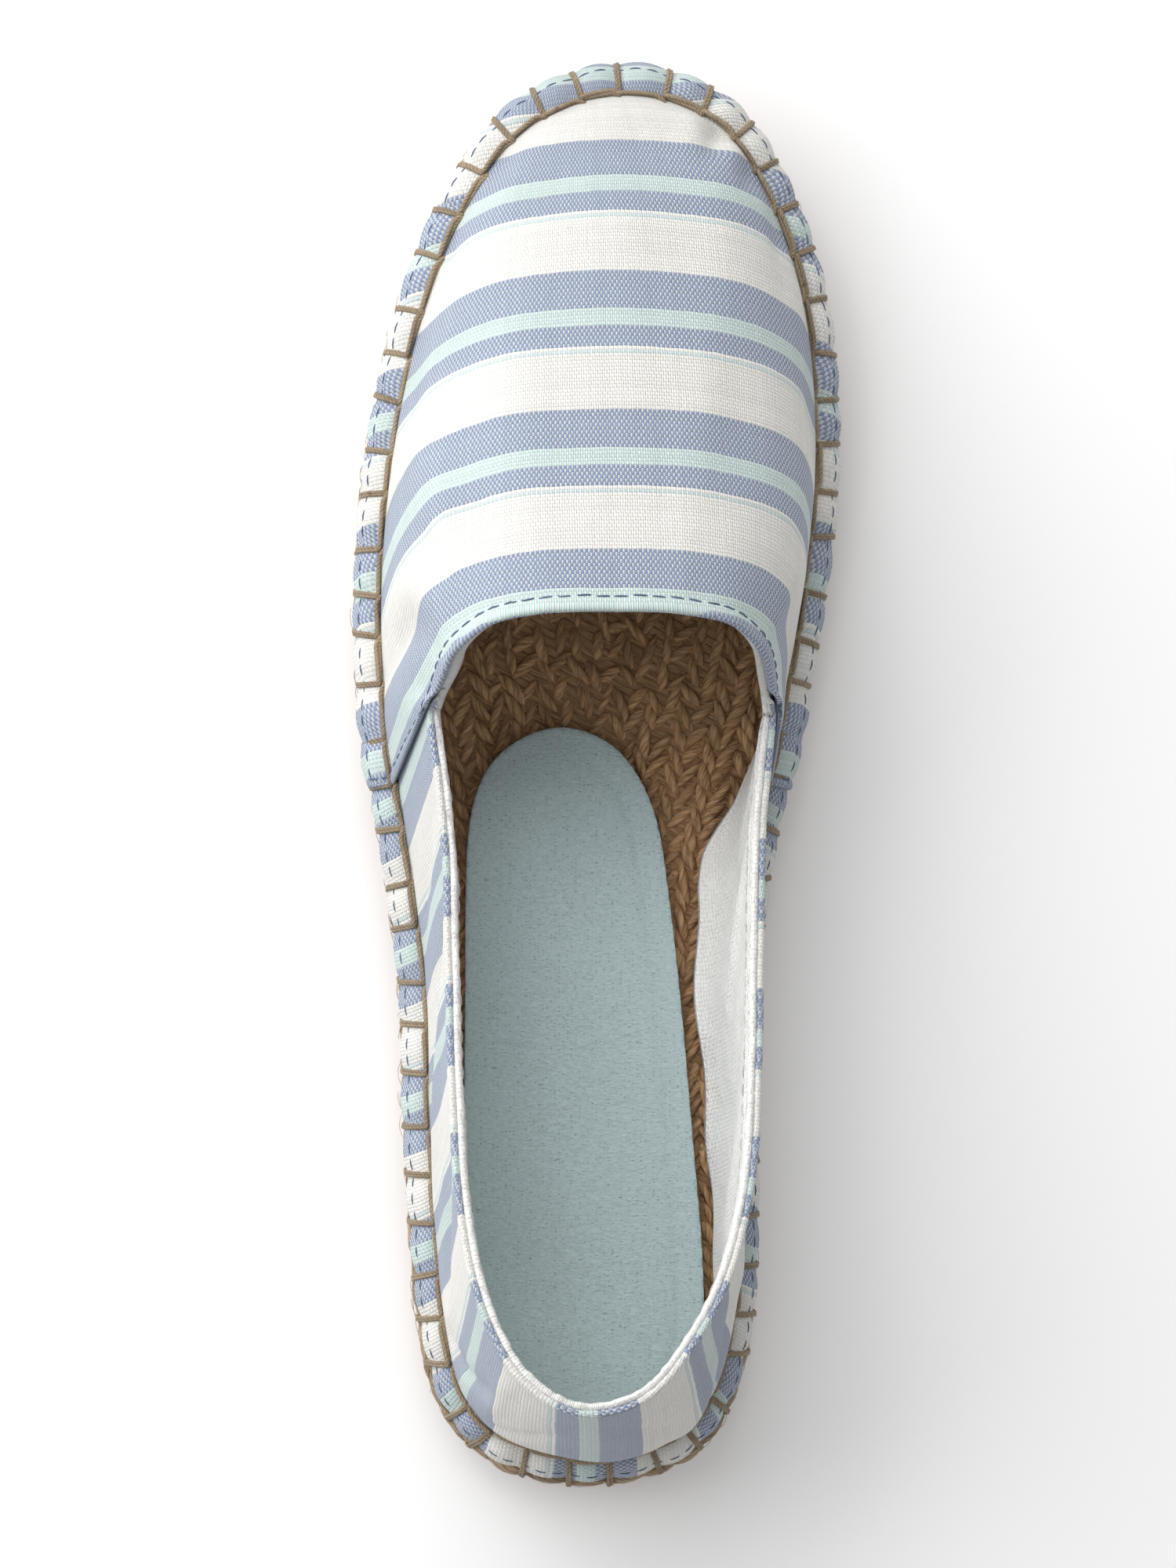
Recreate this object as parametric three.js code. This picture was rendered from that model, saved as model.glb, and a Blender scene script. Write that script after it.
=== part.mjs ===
import * as THREE from 'three';

// A left espadrille in millimetres: +Z up, toe towards -Y, heel towards +Y,
// the outer (lateral) side of the foot towards +X and the inner (medial) side towards -X.
// It stands on its sole, with the origin on the floor under the middle of the shoe.

// ---- driving dimensions ------------------------------------------------------------
const LENGTH = 250;            // heel to toe, over the sole
const BALL_WIDTH = 85.4;       // across the sole at the ball of the foot
const INSTEP_HEIGHT = 66;      // top of the throat above the floor
const CORNER_HEIGHT = 40.5;    // where the throat meets the top line, above the floor
const HEEL_HEIGHT = 72.5;      // top line at the back of the heel, above the floor

const RUBBER = 2.2;            // rubber outsole
const JUTE_TOP = 14;           // jute footbed above the floor, where the sole is flat
const GAP = 0.3;               // clearance between pieces that meet
const WALL = 2.2;              // canvas and lining together
const HEM = 4.2;               // width of the stitched hem round the sole
const HEM_EXTRA = 1.2;         // how much wider the hem is at toe and heel
const HEM_DROP = 3.7;          // how far the hem's edge hangs below the feather line
const HEM_PROUD = 0.4;         // hem edge beyond the jute
const FEATHER_RISE = 2.2;      // feather line above the jute footbed

const SPRING_START = 155;      // the sole is flat up to here, from the heel
const SPRING_RISE = 10.2;      // height of the toe off the floor
const SPRING_POWER = 1.6;
const HEEL_ROUND = 12;         // length over which the heel lifts off the floor
const HEEL_RISE = 1.2;

const INSOLE_THICK = 2.2;

const STEPS = 3;               // grid columns between two sections
const WALL_STEPS = 6;          // grid rows up the wall

// ---- the last, one row for each section from toe to heel -----------------------------
// along      sole edge from the heel, share of LENGTH
// outer      sole edge on the lateral side, share of half the ball width
// inner      sole edge on the medial side, share of half the ball width
// topAlong   edge of the opening from the heel, share of LENGTH
// topRise    its height: throat 0 corner to 1 instep, top line 0 corner to 1 heel
// topOuter   edge of the opening on the lateral side, mm from the middle
// topInner   the same on the medial side
// knee       height of the wall's bend, share of the wall's height
// lean       how far in the bend lies, share of the way to the opening
const SECTIONS = [
  // along outer   inner   topAlong topRise topOuter topInner knee  lean
  [1.000, -0.110,  0.110,  0.614,   1.00,   0.5,     -0.5,    0.13, 0.00],
  [0.977,  0.316,  0.529,  0.614,   1.00,   6.5,      5.0,    0.17, 0.03],
  [0.920,  0.600,  0.780,  0.612,   0.97,  13.5,     12.0,    0.32, 0.10],
  [0.832,  0.815,  0.955,  0.605,   0.85,  21.0,     20.2,    0.50, 0.20],
  [0.720,  0.950,  1.003,  0.586,   0.59,  26.8,     25.8,    0.72, 0.20],
  [0.600,  0.990,  0.925,  0.566,   0.29,  28.8,     28.0,    0.68, 0.32],
  [0.492,  0.920,  0.790,  0.546,   0.00,  30.6,     29.4,    0.50, 0.40],
  [0.420,  0.852,  0.712,  0.468,   0.08,  28.3,     27.4,    0.45, 0.20],
  [0.340,  0.800,  0.672,  0.382,   0.21,  27.6,     26.4,    0.45, 0.18],
  [0.260,  0.790,  0.672,  0.300,   0.41,  27.4,     25.6,    0.45, 0.15],
  [0.180,  0.764,  0.674,  0.222,   0.61,  26.5,     23.6,    0.45, 0.12],
  [0.112,  0.724,  0.655,  0.160,   0.80,  24.0,     18.9,    0.42, 0.10],
  [0.054,  0.632,  0.560,  0.112,   0.92,  19.0,     11.6,    0.38, 0.07],
  [0.015,  0.410,  0.352,  0.084,   0.98,  12.2,      4.6,    0.36, 0.05],
  [0.000,  0.028, -0.028,  0.074,   1.00,   4.4,     -4.4,    0.36, 0.05],
].map(([along, outer, inner, topAlong, topRise, topOuter, topInner, knee, lean]) => ({
  along: along * LENGTH,
  outer: outer * BALL_WIDTH / 2,
  inner: inner * BALL_WIDTH / 2,
  topAlong: topAlong * LENGTH,
  topRise, topOuter, topInner, knee, lean,
}));
const CORNER = 6;              // the section where the vamp meets the quarter

// ---- the sock liner, one row for each section from its nose to the heel --------------
// along from the heel, and its two edges across, all in mm
const LINER = [
  // along  outer  inner
  [134.0,   6.2,   6.2],
  [131.6,  14.0,  -1.6],
  [126.0,  19.6,  -7.0],
  [117.0,  22.4, -10.8],
  [103.0,  23.1, -13.0],
  [ 85.0,  23.2, -15.0],
  [ 60.0,  23.4, -17.2],
  [ 40.0,  23.4, -18.8],
  [ 25.0,  21.8, -18.6],
  [ 15.5,  17.2, -14.6],
  [ 10.4,  10.2,  -7.8],
  [  8.8,   1.3,   1.3],
].map(([along, outer, inner]) => ({ along, outer, inner }));

// A distance from the heel becomes a place on the Y axis.
const place = (along) => LENGTH / 2 - along;

// Height of the sole's underside: flat, then a spring up to the toe and a small round heel.
function lift(y) {
  const along = LENGTH / 2 - y;
  const toe = Math.max(0, (along - SPRING_START) / (LENGTH - SPRING_START));
  const heel = Math.max(0, (HEEL_ROUND - along) / HEEL_ROUND);
  return SPRING_RISE * toe ** SPRING_POWER + HEEL_RISE * heel ** 2;
}

// The sections' points in order round the shoe: lateral side to the heel, medial side back.
function around(rows, point) {
  const last = rows.length - 1;
  const lateral = rows.map((row) => point(row, 1));
  const medial = rows.slice(1, last).reverse().map((row) => point(row, -1));
  return lateral.concat(medial);
}

// A closed smooth curve through the points, sampled with STEPS columns to a section.
function closedLoop(points) {
  const curve = new THREE.CatmullRomCurve3(points, true, 'catmullrom', 0.5);
  const count = points.length * STEPS;
  return Array.from({ length: count }, (_, i) => curve.getPoint(i / count));
}

// An open smooth curve through the points, without its last sample.
function openArc(points) {
  const curve = new THREE.CatmullRomCurve3(points, false, 'catmullrom', 0.5);
  const count = (points.length - 1) * STEPS;
  return Array.from({ length: count }, (_, i) => curve.getPoint(i / count));
}

// Outward direction in plan at each point of a closed loop.
function outward(loop) {
  const count = loop.length;
  return loop.map((_, i) => {
    const ahead = loop[(i + 1) % count];
    const behind = loop[(i + count - 1) % count];
    return new THREE.Vector3(ahead.y - behind.y, behind.x - ahead.x, 0).normalize();
  });
}

// The loop drawn in by an inset, which may differ from point to point, at a given height
// above the sole's underside.
function ringAt(loop, normals, inset, height) {
  return loop.map((p, i) => {
    const by = typeof inset === 'function' ? inset(i) : inset;
    const q = p.clone().addScaledVector(normals[i], -by);
    q.z = height + lift(q.y);
    return q;
  });
}

// A solid from rings of equal length. Stacked rings are closed by a strip across the first
// and the last ring; looped rings join the last ring to the first, as round a tyre.
function solidFromRings(rings, looped) {
  const count = rings[0].length;
  const vertices = rings.flat().flatMap((p) => [p.x, p.y, p.z]);
  const faces = [];
  const bands = looped ? rings.length : rings.length - 1;
  for (let k = 0; k < bands; k += 1) {
    const low = k * count;
    const high = ((k + 1) % rings.length) * count;
    for (let i = 0; i < count; i += 1) {
      const j = (i + 1) % count;
      faces.push(low + i, low + j, high + j, low + i, high + j, high + i);
    }
  }
  if (!looped) {
    const top = (rings.length - 1) * count;
    for (let i = 0; i < count / 2; i += 1) {
      const a = i;
      const b = i + 1;
      const c = count - i - 1;
      const d = (count - i) % count;
      faces.push(top + a, top + b, top + c);
      faces.push(c, b, a);
      if (d !== a) {
        faces.push(top + a, top + c, top + d);
        faces.push(d, c, a);
      }
    }
  }
  const kept = [];
  for (let f = 0; f < faces.length; f += 3) {
    const [a, b, c] = faces.slice(f, f + 3);
    if (a !== b && b !== c && c !== a) kept.push(a, b, c);
  }
  const geometry = new THREE.BufferGeometry();
  geometry.setAttribute('position', new THREE.Float32BufferAttribute(vertices, 3));
  geometry.setIndex(kept);
  geometry.computeVertexNormals();
  return geometry;
}

function piece(name, geometry, color, roughness) {
  const material = new THREE.MeshStandardMaterial({ color, roughness, metalness: 0 });
  const mesh = new THREE.Mesh(geometry, material);
  mesh.name = name;
  return mesh;
}

// ---- outlines that every piece shares --------------------------------------------------
const edge = closedLoop(around(SECTIONS, (row, side) => {
  const across = side > 0 ? row.outer : -row.inner;
  return new THREE.Vector3(across, place(row.along), 0);
}));
const edgeNormals = outward(edge);
const hemWidth = (i) => HEM + HEM_EXTRA * Math.abs(edgeNormals[i].y) ** 2;

// ---- rubber outsole: a thin sheet with a rounded lower edge ------------------------------
function outsole() {
  const rings = [
    ringAt(edge, edgeNormals, 1.9, 0),
    ringAt(edge, edgeNormals, 1.2, 0.5),
    ringAt(edge, edgeNormals, 0.9, RUBBER),
  ];
  return solidFromRings(rings, false);
}

// ---- jute midsole: two courses of braid, bevelled above where the hem lies on it ---------
function midsole() {
  const low = RUBBER + GAP;
  const brow = JUTE_TOP - HEM_DROP + 0.4;
  const middle = (low + brow) / 2;
  const bulge = [
    [0.9, low],
    [0.1, low + 1.2],
    [0.1, middle - 1.1],
    [0.8, middle],
    [0.1, middle + 1.1],
    [0.0, brow - 1.2],
    [0.3, brow],
  ];
  const rings = bulge.map(([inset, height]) => ringAt(edge, edgeNormals, inset, height));
  rings.push(ringAt(edge, edgeNormals, hemWidth, JUTE_TOP));
  return solidFromRings(rings, false);
}

// ---- canvas upper: one hollow wall with its hem, open at the top and underneath ----------
function upper() {
  const feather = ringAt(edge, edgeNormals, hemWidth, JUTE_TOP + FEATHER_RISE);
  const rim = (row, side) => {
    const full = SECTIONS.indexOf(row) <= CORNER ? INSTEP_HEIGHT : HEEL_HEIGHT;
    const across = side > 0 ? row.topOuter : -row.topInner;
    const height = CORNER_HEIGHT + row.topRise * (full - CORNER_HEIGHT);
    return new THREE.Vector3(across, place(row.topAlong), height);
  };
  const rims = around(SECTIONS, rim);
  const turn = rims.length;
  const topLine = openArc(rims.slice(CORNER, turn - CORNER + 1));
  const throat = openArc([...rims.slice(turn - CORNER), ...rims.slice(0, CORNER + 1)]);
  const half = CORNER * STEPS;
  const opening = [...throat.slice(half), ...topLine, ...throat.slice(0, half)];

  // The bend of each section, eased between the rows of the table.
  const bends = closedLoop(around(SECTIONS, (row) => new THREE.Vector3(row.knee, row.lean, 0)));

  // Outer face: from the feather line up over the bend to the opening, a parabola in space.
  const grid = [];
  for (let j = 0; j <= WALL_STEPS; j += 1) {
    const t = j / WALL_STEPS;
    grid.push(feather.map((foot, i) => {
      const top = opening[i];
      const knee = foot.clone().lerp(top, bends[i].y);
      knee.z = foot.z + bends[i].x * (top.z - foot.z);
      return foot.clone().multiplyScalar((1 - t) ** 2)
        .addScaledVector(knee, 2 * t * (1 - t))
        .addScaledVector(top, t ** 2);
    }));
  }

  // Inner face: the outer face moved in by the wall along its normals.
  const count = feather.length;
  const inner = grid.map((ring, j) => ring.map((p, i) => {
    const up = grid[Math.min(j + 1, WALL_STEPS)][i].clone().sub(grid[Math.max(j - 1, 0)][i]);
    const along = ring[(i + 1) % count].clone().sub(ring[(i + count - 1) % count]);
    return p.clone().addScaledVector(along.cross(up).normalize(), -WALL);
  }));

  const hemTop = ringAt(edge, edgeNormals, -HEM_PROUD, JUTE_TOP + FEATHER_RISE - HEM_DROP);
  const hemUnder = ringAt(edge, edgeNormals, 0, JUTE_TOP + GAP + 0.9 - HEM_DROP);
  const seat = ringAt(edge, edgeNormals, hemWidth, JUTE_TOP + GAP + 0.1);
  const seatIn = ringAt(edge, edgeNormals, (i) => hemWidth(i) + WALL, JUTE_TOP + GAP);
  return solidFromRings([hemTop, ...grid, ...inner.reverse(), seatIn, seat, hemUnder], true);
}

// ---- sock liner: a soft flat pad on the footbed, from the heel to the middle of the foot -
function insole() {
  const loop = closedLoop(around(LINER, (row, side) => {
    const across = side > 0 ? row.outer : row.inner;
    return new THREE.Vector3(across, place(row.along), 0);
  }));
  const normals = outward(loop);
  const low = JUTE_TOP + GAP;
  const rings = [
    ringAt(loop, normals, 0.4, low),
    ringAt(loop, normals, 0, low + 0.6),
    ringAt(loop, normals, 0.1, low + INSOLE_THICK - 0.7),
    ringAt(loop, normals, 0.9, low + INSOLE_THICK),
  ];
  return solidFromRings(rings, false);
}

const shoe = new THREE.Group();
shoe.add(piece('outsole', outsole(), 0xa5714f, 0.75));
shoe.add(piece('midsole', midsole(), 0xaf9468, 0.95));
shoe.add(piece('upper', upper(), 0xc5cede, 0.9));
shoe.add(piece('insole', insole(), 0xa4bcc4, 0.85));

export default shoe;
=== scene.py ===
# %% [markdown]
# # A striped canvas espadrille on a braided jute sole
#
# The shoe is a soft canvas upper, hand sewn with a waxed thread onto a sole of braided jute,
# with a thin sheet of rubber underneath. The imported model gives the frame: every piece here
# is worked out from the same last, in millimetres, and stored in metres. Toe towards -Y,
# heel towards +Y, the outer side of the foot towards +X, the floor at z = 0.

import bmesh
import bpy
import numpy as np
from mathutils import Matrix, Vector


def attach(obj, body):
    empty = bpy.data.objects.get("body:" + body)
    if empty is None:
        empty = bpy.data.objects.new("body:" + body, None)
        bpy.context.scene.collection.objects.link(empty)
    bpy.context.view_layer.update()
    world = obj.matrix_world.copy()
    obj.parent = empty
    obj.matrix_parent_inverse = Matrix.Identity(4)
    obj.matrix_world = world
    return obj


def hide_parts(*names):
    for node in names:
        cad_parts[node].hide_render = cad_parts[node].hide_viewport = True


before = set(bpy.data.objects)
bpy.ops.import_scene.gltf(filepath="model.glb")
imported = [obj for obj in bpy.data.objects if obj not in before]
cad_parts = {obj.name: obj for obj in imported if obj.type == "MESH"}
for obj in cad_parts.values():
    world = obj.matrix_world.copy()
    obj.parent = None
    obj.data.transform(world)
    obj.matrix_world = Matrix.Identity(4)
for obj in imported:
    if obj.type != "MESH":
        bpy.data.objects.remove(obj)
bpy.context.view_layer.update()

MM = 0.001
UP = np.array([0.0, 0.0, 1.0])
random = np.random.default_rng(11)

# %% [markdown]
# ## Formulas used throughout
#
# Everything below is worked out on whole arrays: the last axis holds x, y and z.


# %% Small formulas
def unit(a):
    """Each vector divided by its own length."""
    return a / np.maximum(np.linalg.norm(a, axis=-1, keepdims=True), 1e-9)


def smooth(a, low, high):
    """0 below low, 1 above high, and an S curve between: 3t squared minus 2t cubed."""
    t = np.clip((a - low) / (high - low), 0, 1)
    return t * t * (3 - 2 * t)


def bell(a, width):
    """The bell curve: 1 at a = 0, and e to the minus square of a over the width."""
    return np.exp(-(a / width)**2)


def bezier(a, b, c, t):
    """Quadratic Bezier curve: starts at a, drawn towards b, ends at c."""
    return (1 - t)**2 * a + 2 * t * (1 - t) * b + t**2 * c


def travelled(p, axis=0):
    """Distance along lines of points from their first point, summed over the chords."""
    steps = np.linalg.norm(np.diff(p, axis=axis), axis=-1)
    return np.insert(np.cumsum(steps, axis=axis), 0, 0, axis=axis)


def jitter(low, high, count):
    """A random value for each of count things, as a column."""
    return random.uniform(low, high, (count, 1))


print("formulas ready")

# %% [markdown]
# ## The last
#
# A shoe is drawn on its last: sections across it from toe to heel. Each row gives the sole's
# edge and the edge of the opening on both sides. A smooth closed curve through the rows'
# points gives every outline. The parameter u counts the sections round the shoe: 0 is the
# toe, 6 the outer corner where vamp and quarter meet, 14 the heel, 22 the inner corner.

# %% The table of sections
LENGTH = 250.0
HALF_BALL = 42.7
INSTEP_HEIGHT = 66.0
CORNER_HEIGHT = 40.5
HEEL_HEIGHT = 72.5
TURN = 28
CORNER = 6
HEEL = 14
# along outer   inner   topAlong topRise topOuter topInner knee  lean
SECTIONS = np.array([
    [1.000, -0.110, 0.110, 0.614, 1.00, 0.5, -0.5, 0.13, 0.00],
    [0.977, 0.316, 0.529, 0.614, 1.00, 6.5, 5.0, 0.17, 0.03],
    [0.920, 0.600, 0.780, 0.612, 0.97, 13.5, 12.0, 0.32, 0.10],
    [0.832, 0.815, 0.955, 0.605, 0.85, 21.0, 20.2, 0.50, 0.20],
    [0.720, 0.950, 1.003, 0.586, 0.59, 26.8, 25.8, 0.72, 0.20],
    [0.600, 0.990, 0.925, 0.566, 0.29, 28.8, 28.0, 0.68, 0.32],
    [0.492, 0.920, 0.790, 0.546, 0.00, 30.6, 29.4, 0.50, 0.40],
    [0.420, 0.852, 0.712, 0.468, 0.08, 28.3, 27.4, 0.45, 0.20],
    [0.340, 0.800, 0.672, 0.382, 0.21, 27.6, 26.4, 0.45, 0.18],
    [0.260, 0.790, 0.672, 0.300, 0.41, 27.4, 25.6, 0.45, 0.15],
    [0.180, 0.764, 0.674, 0.222, 0.61, 26.5, 23.6, 0.45, 0.12],
    [0.112, 0.724, 0.655, 0.160, 0.80, 24.0, 18.9, 0.42, 0.10],
    [0.054, 0.632, 0.560, 0.112, 0.92, 19.0, 11.6, 0.38, 0.07],
    [0.015, 0.410, 0.352, 0.084, 0.98, 12.2, 4.6, 0.36, 0.05],
    [0.000, 0.028, -0.028, 0.074, 1.00, 4.4, -4.4, 0.36, 0.05],
])


def around(rows, outer, inner):
    """The rows' points in order round the shoe: the outer side to the heel, the inner back."""
    return np.concatenate([outer(rows), inner(rows[1:-1][::-1])])


def spline(points, u, closed):
    """Uniform Catmull-Rom curve: each span is the cubic through its two ends, with slopes
    set by the neighbours on either side. An open curve's end points are reflected."""
    count = len(points)
    if closed:
        i = np.floor(u).astype(int)
        t = (u - i)[..., None]
        a, b, c, d = (points[(i + k) % count] for k in (-1, 0, 1, 2))
    else:
        more = np.vstack([2 * points[0] - points[1], points, 2 * points[-1] - points[-2]])
        i = np.clip(np.floor(u).astype(int), 0, count - 2)
        t = (u - i)[..., None]
        a, b, c, d = (more[i + k] for k in (0, 1, 2, 3))
    return 0.5 * (2 * b + (c - a) * t + (2 * a - 5 * b + 4 * c - d) * t**2
                  + (3 * b - a - 3 * c + d) * t**3)


def edge_points(rows, column, side):
    """Plan points of the sole's edge for one side of the rows."""
    return np.stack([side * rows[:, column] * HALF_BALL, LENGTH * (0.5 - rows[:, 0])], axis=1)


def rim_points(rows, column, side, full):
    """Points of the opening's edge: across, along and up."""
    return np.stack([side * rows[:, column], LENGTH * (0.5 - rows[:, 3]),
                     CORNER_HEIGHT + rows[:, 4] * (full - CORNER_HEIGHT)], axis=1)


def whole_rim(rows, column, side):
    """The throat's height rules the rows up to the corner, the heel's those behind it."""
    front = rows[:, 0] > SECTIONS[CORNER, 0] - 0.001
    full = np.where(front, INSTEP_HEIGHT, HEEL_HEIGHT)
    return rim_points(rows, column, side, full)


EDGE = around(SECTIONS, lambda r: edge_points(r, 1, 1), lambda r: edge_points(r, 2, -1))
RIM = around(SECTIONS, lambda r: whole_rim(r, 5, 1), lambda r: whole_rim(r, 6, -1))
BEND = around(SECTIONS, lambda r: r[:, 7:9], lambda r: r[:, 7:9])
TOPLINE = RIM[CORNER:TURN - CORNER + 1]
THROAT = np.vstack([RIM[TURN - CORNER:], RIM[:CORNER + 1]])
print("sections", len(SECTIONS), "points round the edge", len(EDGE))

# %% Outlines and the wall as functions of u
SPRING_START = 155.0
TOE_SPRING = 10.2
HEEL_ROUND = 12.0
HEEL_SPRING = 1.2
HEM = 4.2
HEM_EXTRA = 1.2
HEM_PROUD = 0.4
HEM_DROP = 3.7
FEATHER = 16.2
THROAT_SPAN = 2 * CORNER


def lift(y):
    """Height of the sole's underside: a power curve up to the toe, a small round heel."""
    along = LENGTH / 2 - y
    toe = np.clip((along - SPRING_START) / (LENGTH - SPRING_START), 0, None)
    heel = np.clip(1 - along / HEEL_ROUND, 0, None)
    return TOE_SPRING * toe**1.6 + HEEL_SPRING * heel**2


def edge_step(u, step=0.02):
    """A short piece of the sole's edge at u, as a plan vector."""
    return spline(EDGE, u + step, True) - spline(EDGE, u - step, True)


def outward(u):
    """Plan direction out of the sole's edge: the edge's own direction turned by 90 degrees."""
    d = edge_step(u)
    return unit(np.stack([d[..., 1], -d[..., 0]], axis=-1))


def outward_level(u):
    """The same direction in space, with no rise."""
    return np.concatenate([outward(u), np.zeros(u.shape + (1,))], axis=-1)


def from_toe(u):
    """Distance in u from the toe, on either side."""
    return np.abs((u + HEEL) % TURN - HEEL)


def hem_width(u):
    """The hem is a little wider where the edge runs across the shoe, at toe and heel."""
    return HEM + HEM_EXTRA * outward(u)[..., 1]**2


def at_height(plan, height):
    """Plan points taken to a height above the sole's underside."""
    z = height + lift(plan[..., 1])
    return np.concatenate([plan, np.broadcast_to(z, plan.shape[:-1])[..., None]], axis=-1)


def ring(u, inset, height):
    """The sole's edge drawn in by an inset, at a height above the sole's underside."""
    plan = spline(EDGE, u, True) - outward(u) * np.broadcast_to(inset, u.shape)[..., None]
    return at_height(plan, height)


def opening(u):
    """Edge of the opening: one smooth curve along the throat, another along the top line,
    so that the corners where they meet stay sharp."""
    m = (u + CORNER) % TURN
    throat = spline(THROAT, np.clip(m, 0, THROAT_SPAN), False)
    back = spline(TOPLINE, np.clip(m - THROAT_SPAN, 0, TURN - THROAT_SPAN), False)
    return np.where((m <= THROAT_SPAN)[..., None], throat, back)


def wall(u, v):
    """The upper's outer face: a parabola from the feather line (v = 0) over the section's
    bend to the opening (v = 1)."""
    foot = ring(u, hem_width(u), FEATHER)
    top = opening(u)
    bend = spline(BEND, u, True)
    knee = foot + (top - foot) * bend[..., 1:2]
    knee[..., 2] = foot[..., 2] + bend[..., 0] * (top[..., 2] - foot[..., 2])
    return bezier(foot, knee, top, v[..., None])


def grid_normals(p):
    """Outward normal at each grid point: the direction along u crossed with the one up v."""
    return unit(np.cross(np.gradient(p, axis=1), np.gradient(p, axis=0)))


def sheet(face, rows, columns):
    """A grid on a face of the shoe: u and s at each point, the points, the directions out of
    the face, and the distance down from the top row."""
    s, u = np.meshgrid(rows, columns, indexing="ij")
    points = face(u, s)
    up = travelled(points)
    return u, s, points, grid_normals(points), up[-1] - up


def arc_table(curve, low, high, count=3000):
    """u and the length of a curve up to u."""
    u = np.linspace(low, high, count)
    return u, travelled(curve(u))


EDGE_U, EDGE_ARC = arc_table(lambda u: spline(EDGE, u, True), 0, TURN)
PERIMETER = EDGE_ARC[-1]


def edge_at(arc):
    """The u of a place given by its distance round the sole's edge from the toe."""
    turns = np.floor(arc / PERIMETER)
    return np.interp(arc - turns * PERIMETER, EDGE_ARC, EDGE_U) + TURN * turns


def arc_at(u):
    """The distance round the sole's edge from the toe at u."""
    turns = np.floor(u / TURN)
    return np.interp(u - turns * TURN, EDGE_U, EDGE_ARC) + PERIMETER * turns


print("edge of the sole, mm round:", round(float(PERIMETER), 1))

# %% [markdown]
# ## Making meshes
#
# A surface is a grid of points. Cloth has thickness, so a sheet is two grids, the outer and
# the inner face, joined by a rounded strip along every border. Strands, stitches and fibres
# are tubes carried along a path: one call makes hundreds of them in a single mesh.


# %% Mesh helpers
def make_mesh(name, points, blocks, uv, tone=None):
    """A mesh object from points in mm and blocks of faces, each block an array of faces with
    as many corners. The UV has a pair for every point, or else for every face corner."""
    points = points.reshape(-1, 3)
    uv = uv.reshape(-1, 2)
    faces = sum((block.tolist() for block in blocks), [])
    if len(uv) == len(points):
        uv = uv[np.concatenate([block.ravel() for block in blocks])]
    mesh = bpy.data.meshes.new(name)
    mesh.from_pydata((points * MM).tolist(), [], faces)
    mesh.polygons.foreach_set("use_smooth", np.ones(len(faces), dtype=bool))
    mesh.uv_layers.new(name="cloth").data.foreach_set("uv", uv.astype(np.float32).ravel())
    if tone is not None:
        attribute = mesh.attributes.new("tone", "FLOAT", "POINT")
        attribute.data.foreach_set("value", tone.astype(np.float32))
    mesh.update()
    piece = bpy.data.objects.new(name, mesh)
    bpy.context.scene.collection.objects.link(piece)
    triangles = sum(len(f) - 2 for f in faces)
    print(f"{name}: {len(points)} points, {triangles} triangles")
    return piece


def grid_faces(rows, columns, wrap_rows=False, wrap_columns=False):
    """Quads between neighbouring grid points, facing the side that u cross v points to."""
    r = np.arange(rows if wrap_rows else rows - 1)[:, None]
    c = np.arange(columns if wrap_columns else columns - 1)[None, :]
    r1 = (r + 1) % rows
    c1 = (c + 1) % columns
    quad = np.stack([r * columns + c, r * columns + c1, r1 * columns + c1, r1 * columns + c],
                    axis=-1)
    return quad.reshape(-1, 4)


def rounded(outer, inner, uv, row, before):
    """The middle of a rounded border: the middle of the two faces pushed out by half the
    thickness. Its cloth coordinates carry on at the rate that they change towards it."""
    half = np.linalg.norm(outer[row] - inner[row], axis=-1, keepdims=True) / 2
    middle, previous = (outer[[row, before]] + inner[[row, before]]) / 2
    step = np.linalg.norm(outer[row] - outer[before], axis=-1, keepdims=True)
    flat = uv[row] + (uv[row] - uv[before]) / np.maximum(step, 0.02) * half
    return (middle + unit(middle - previous) * half * 0.85)[None], flat[None]


def cloth(name, outer, inner, uv):
    """A closed sheet. The rows run outer face up, over the rounded top border, inner face
    down and round the bottom border; the first and last columns are closed by a flat strip."""
    top, top_uv = rounded(outer, inner, uv, -1, -2)
    low, low_uv = rounded(outer, inner, uv, 0, 1)
    loop = np.concatenate([outer, top, inner[::-1], low])
    flat = np.concatenate([uv, top_uv, 2 * uv[-1] - uv[::-1], low_uv])
    rows, columns = loop.shape[:2]
    side = len(outer)
    a = np.arange(side - 1)
    b = 2 * side - a
    start = np.stack([a, a + 1, b - 1, b], axis=-1) * columns
    tips = np.array([[side - 1, side, side + 1], [2 * side, 2 * side + 1, 0]]) * columns
    end, end_tips = (f[:, ::-1] + columns - 1 for f in (start, tips))
    quads = grid_faces(rows, columns, wrap_rows=True)
    return make_mesh(name, loop, [quads, start, end, tips, end_tips], flat)


def frame_along(paths, ref):
    """For each point of the paths: the direction along, the one square to it and to ref,
    and the one square to both."""
    tangent = unit(np.gradient(paths, axis=1))
    side = unit(np.cross(tangent, ref))
    return tangent, side, np.cross(side, tangent)


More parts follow.
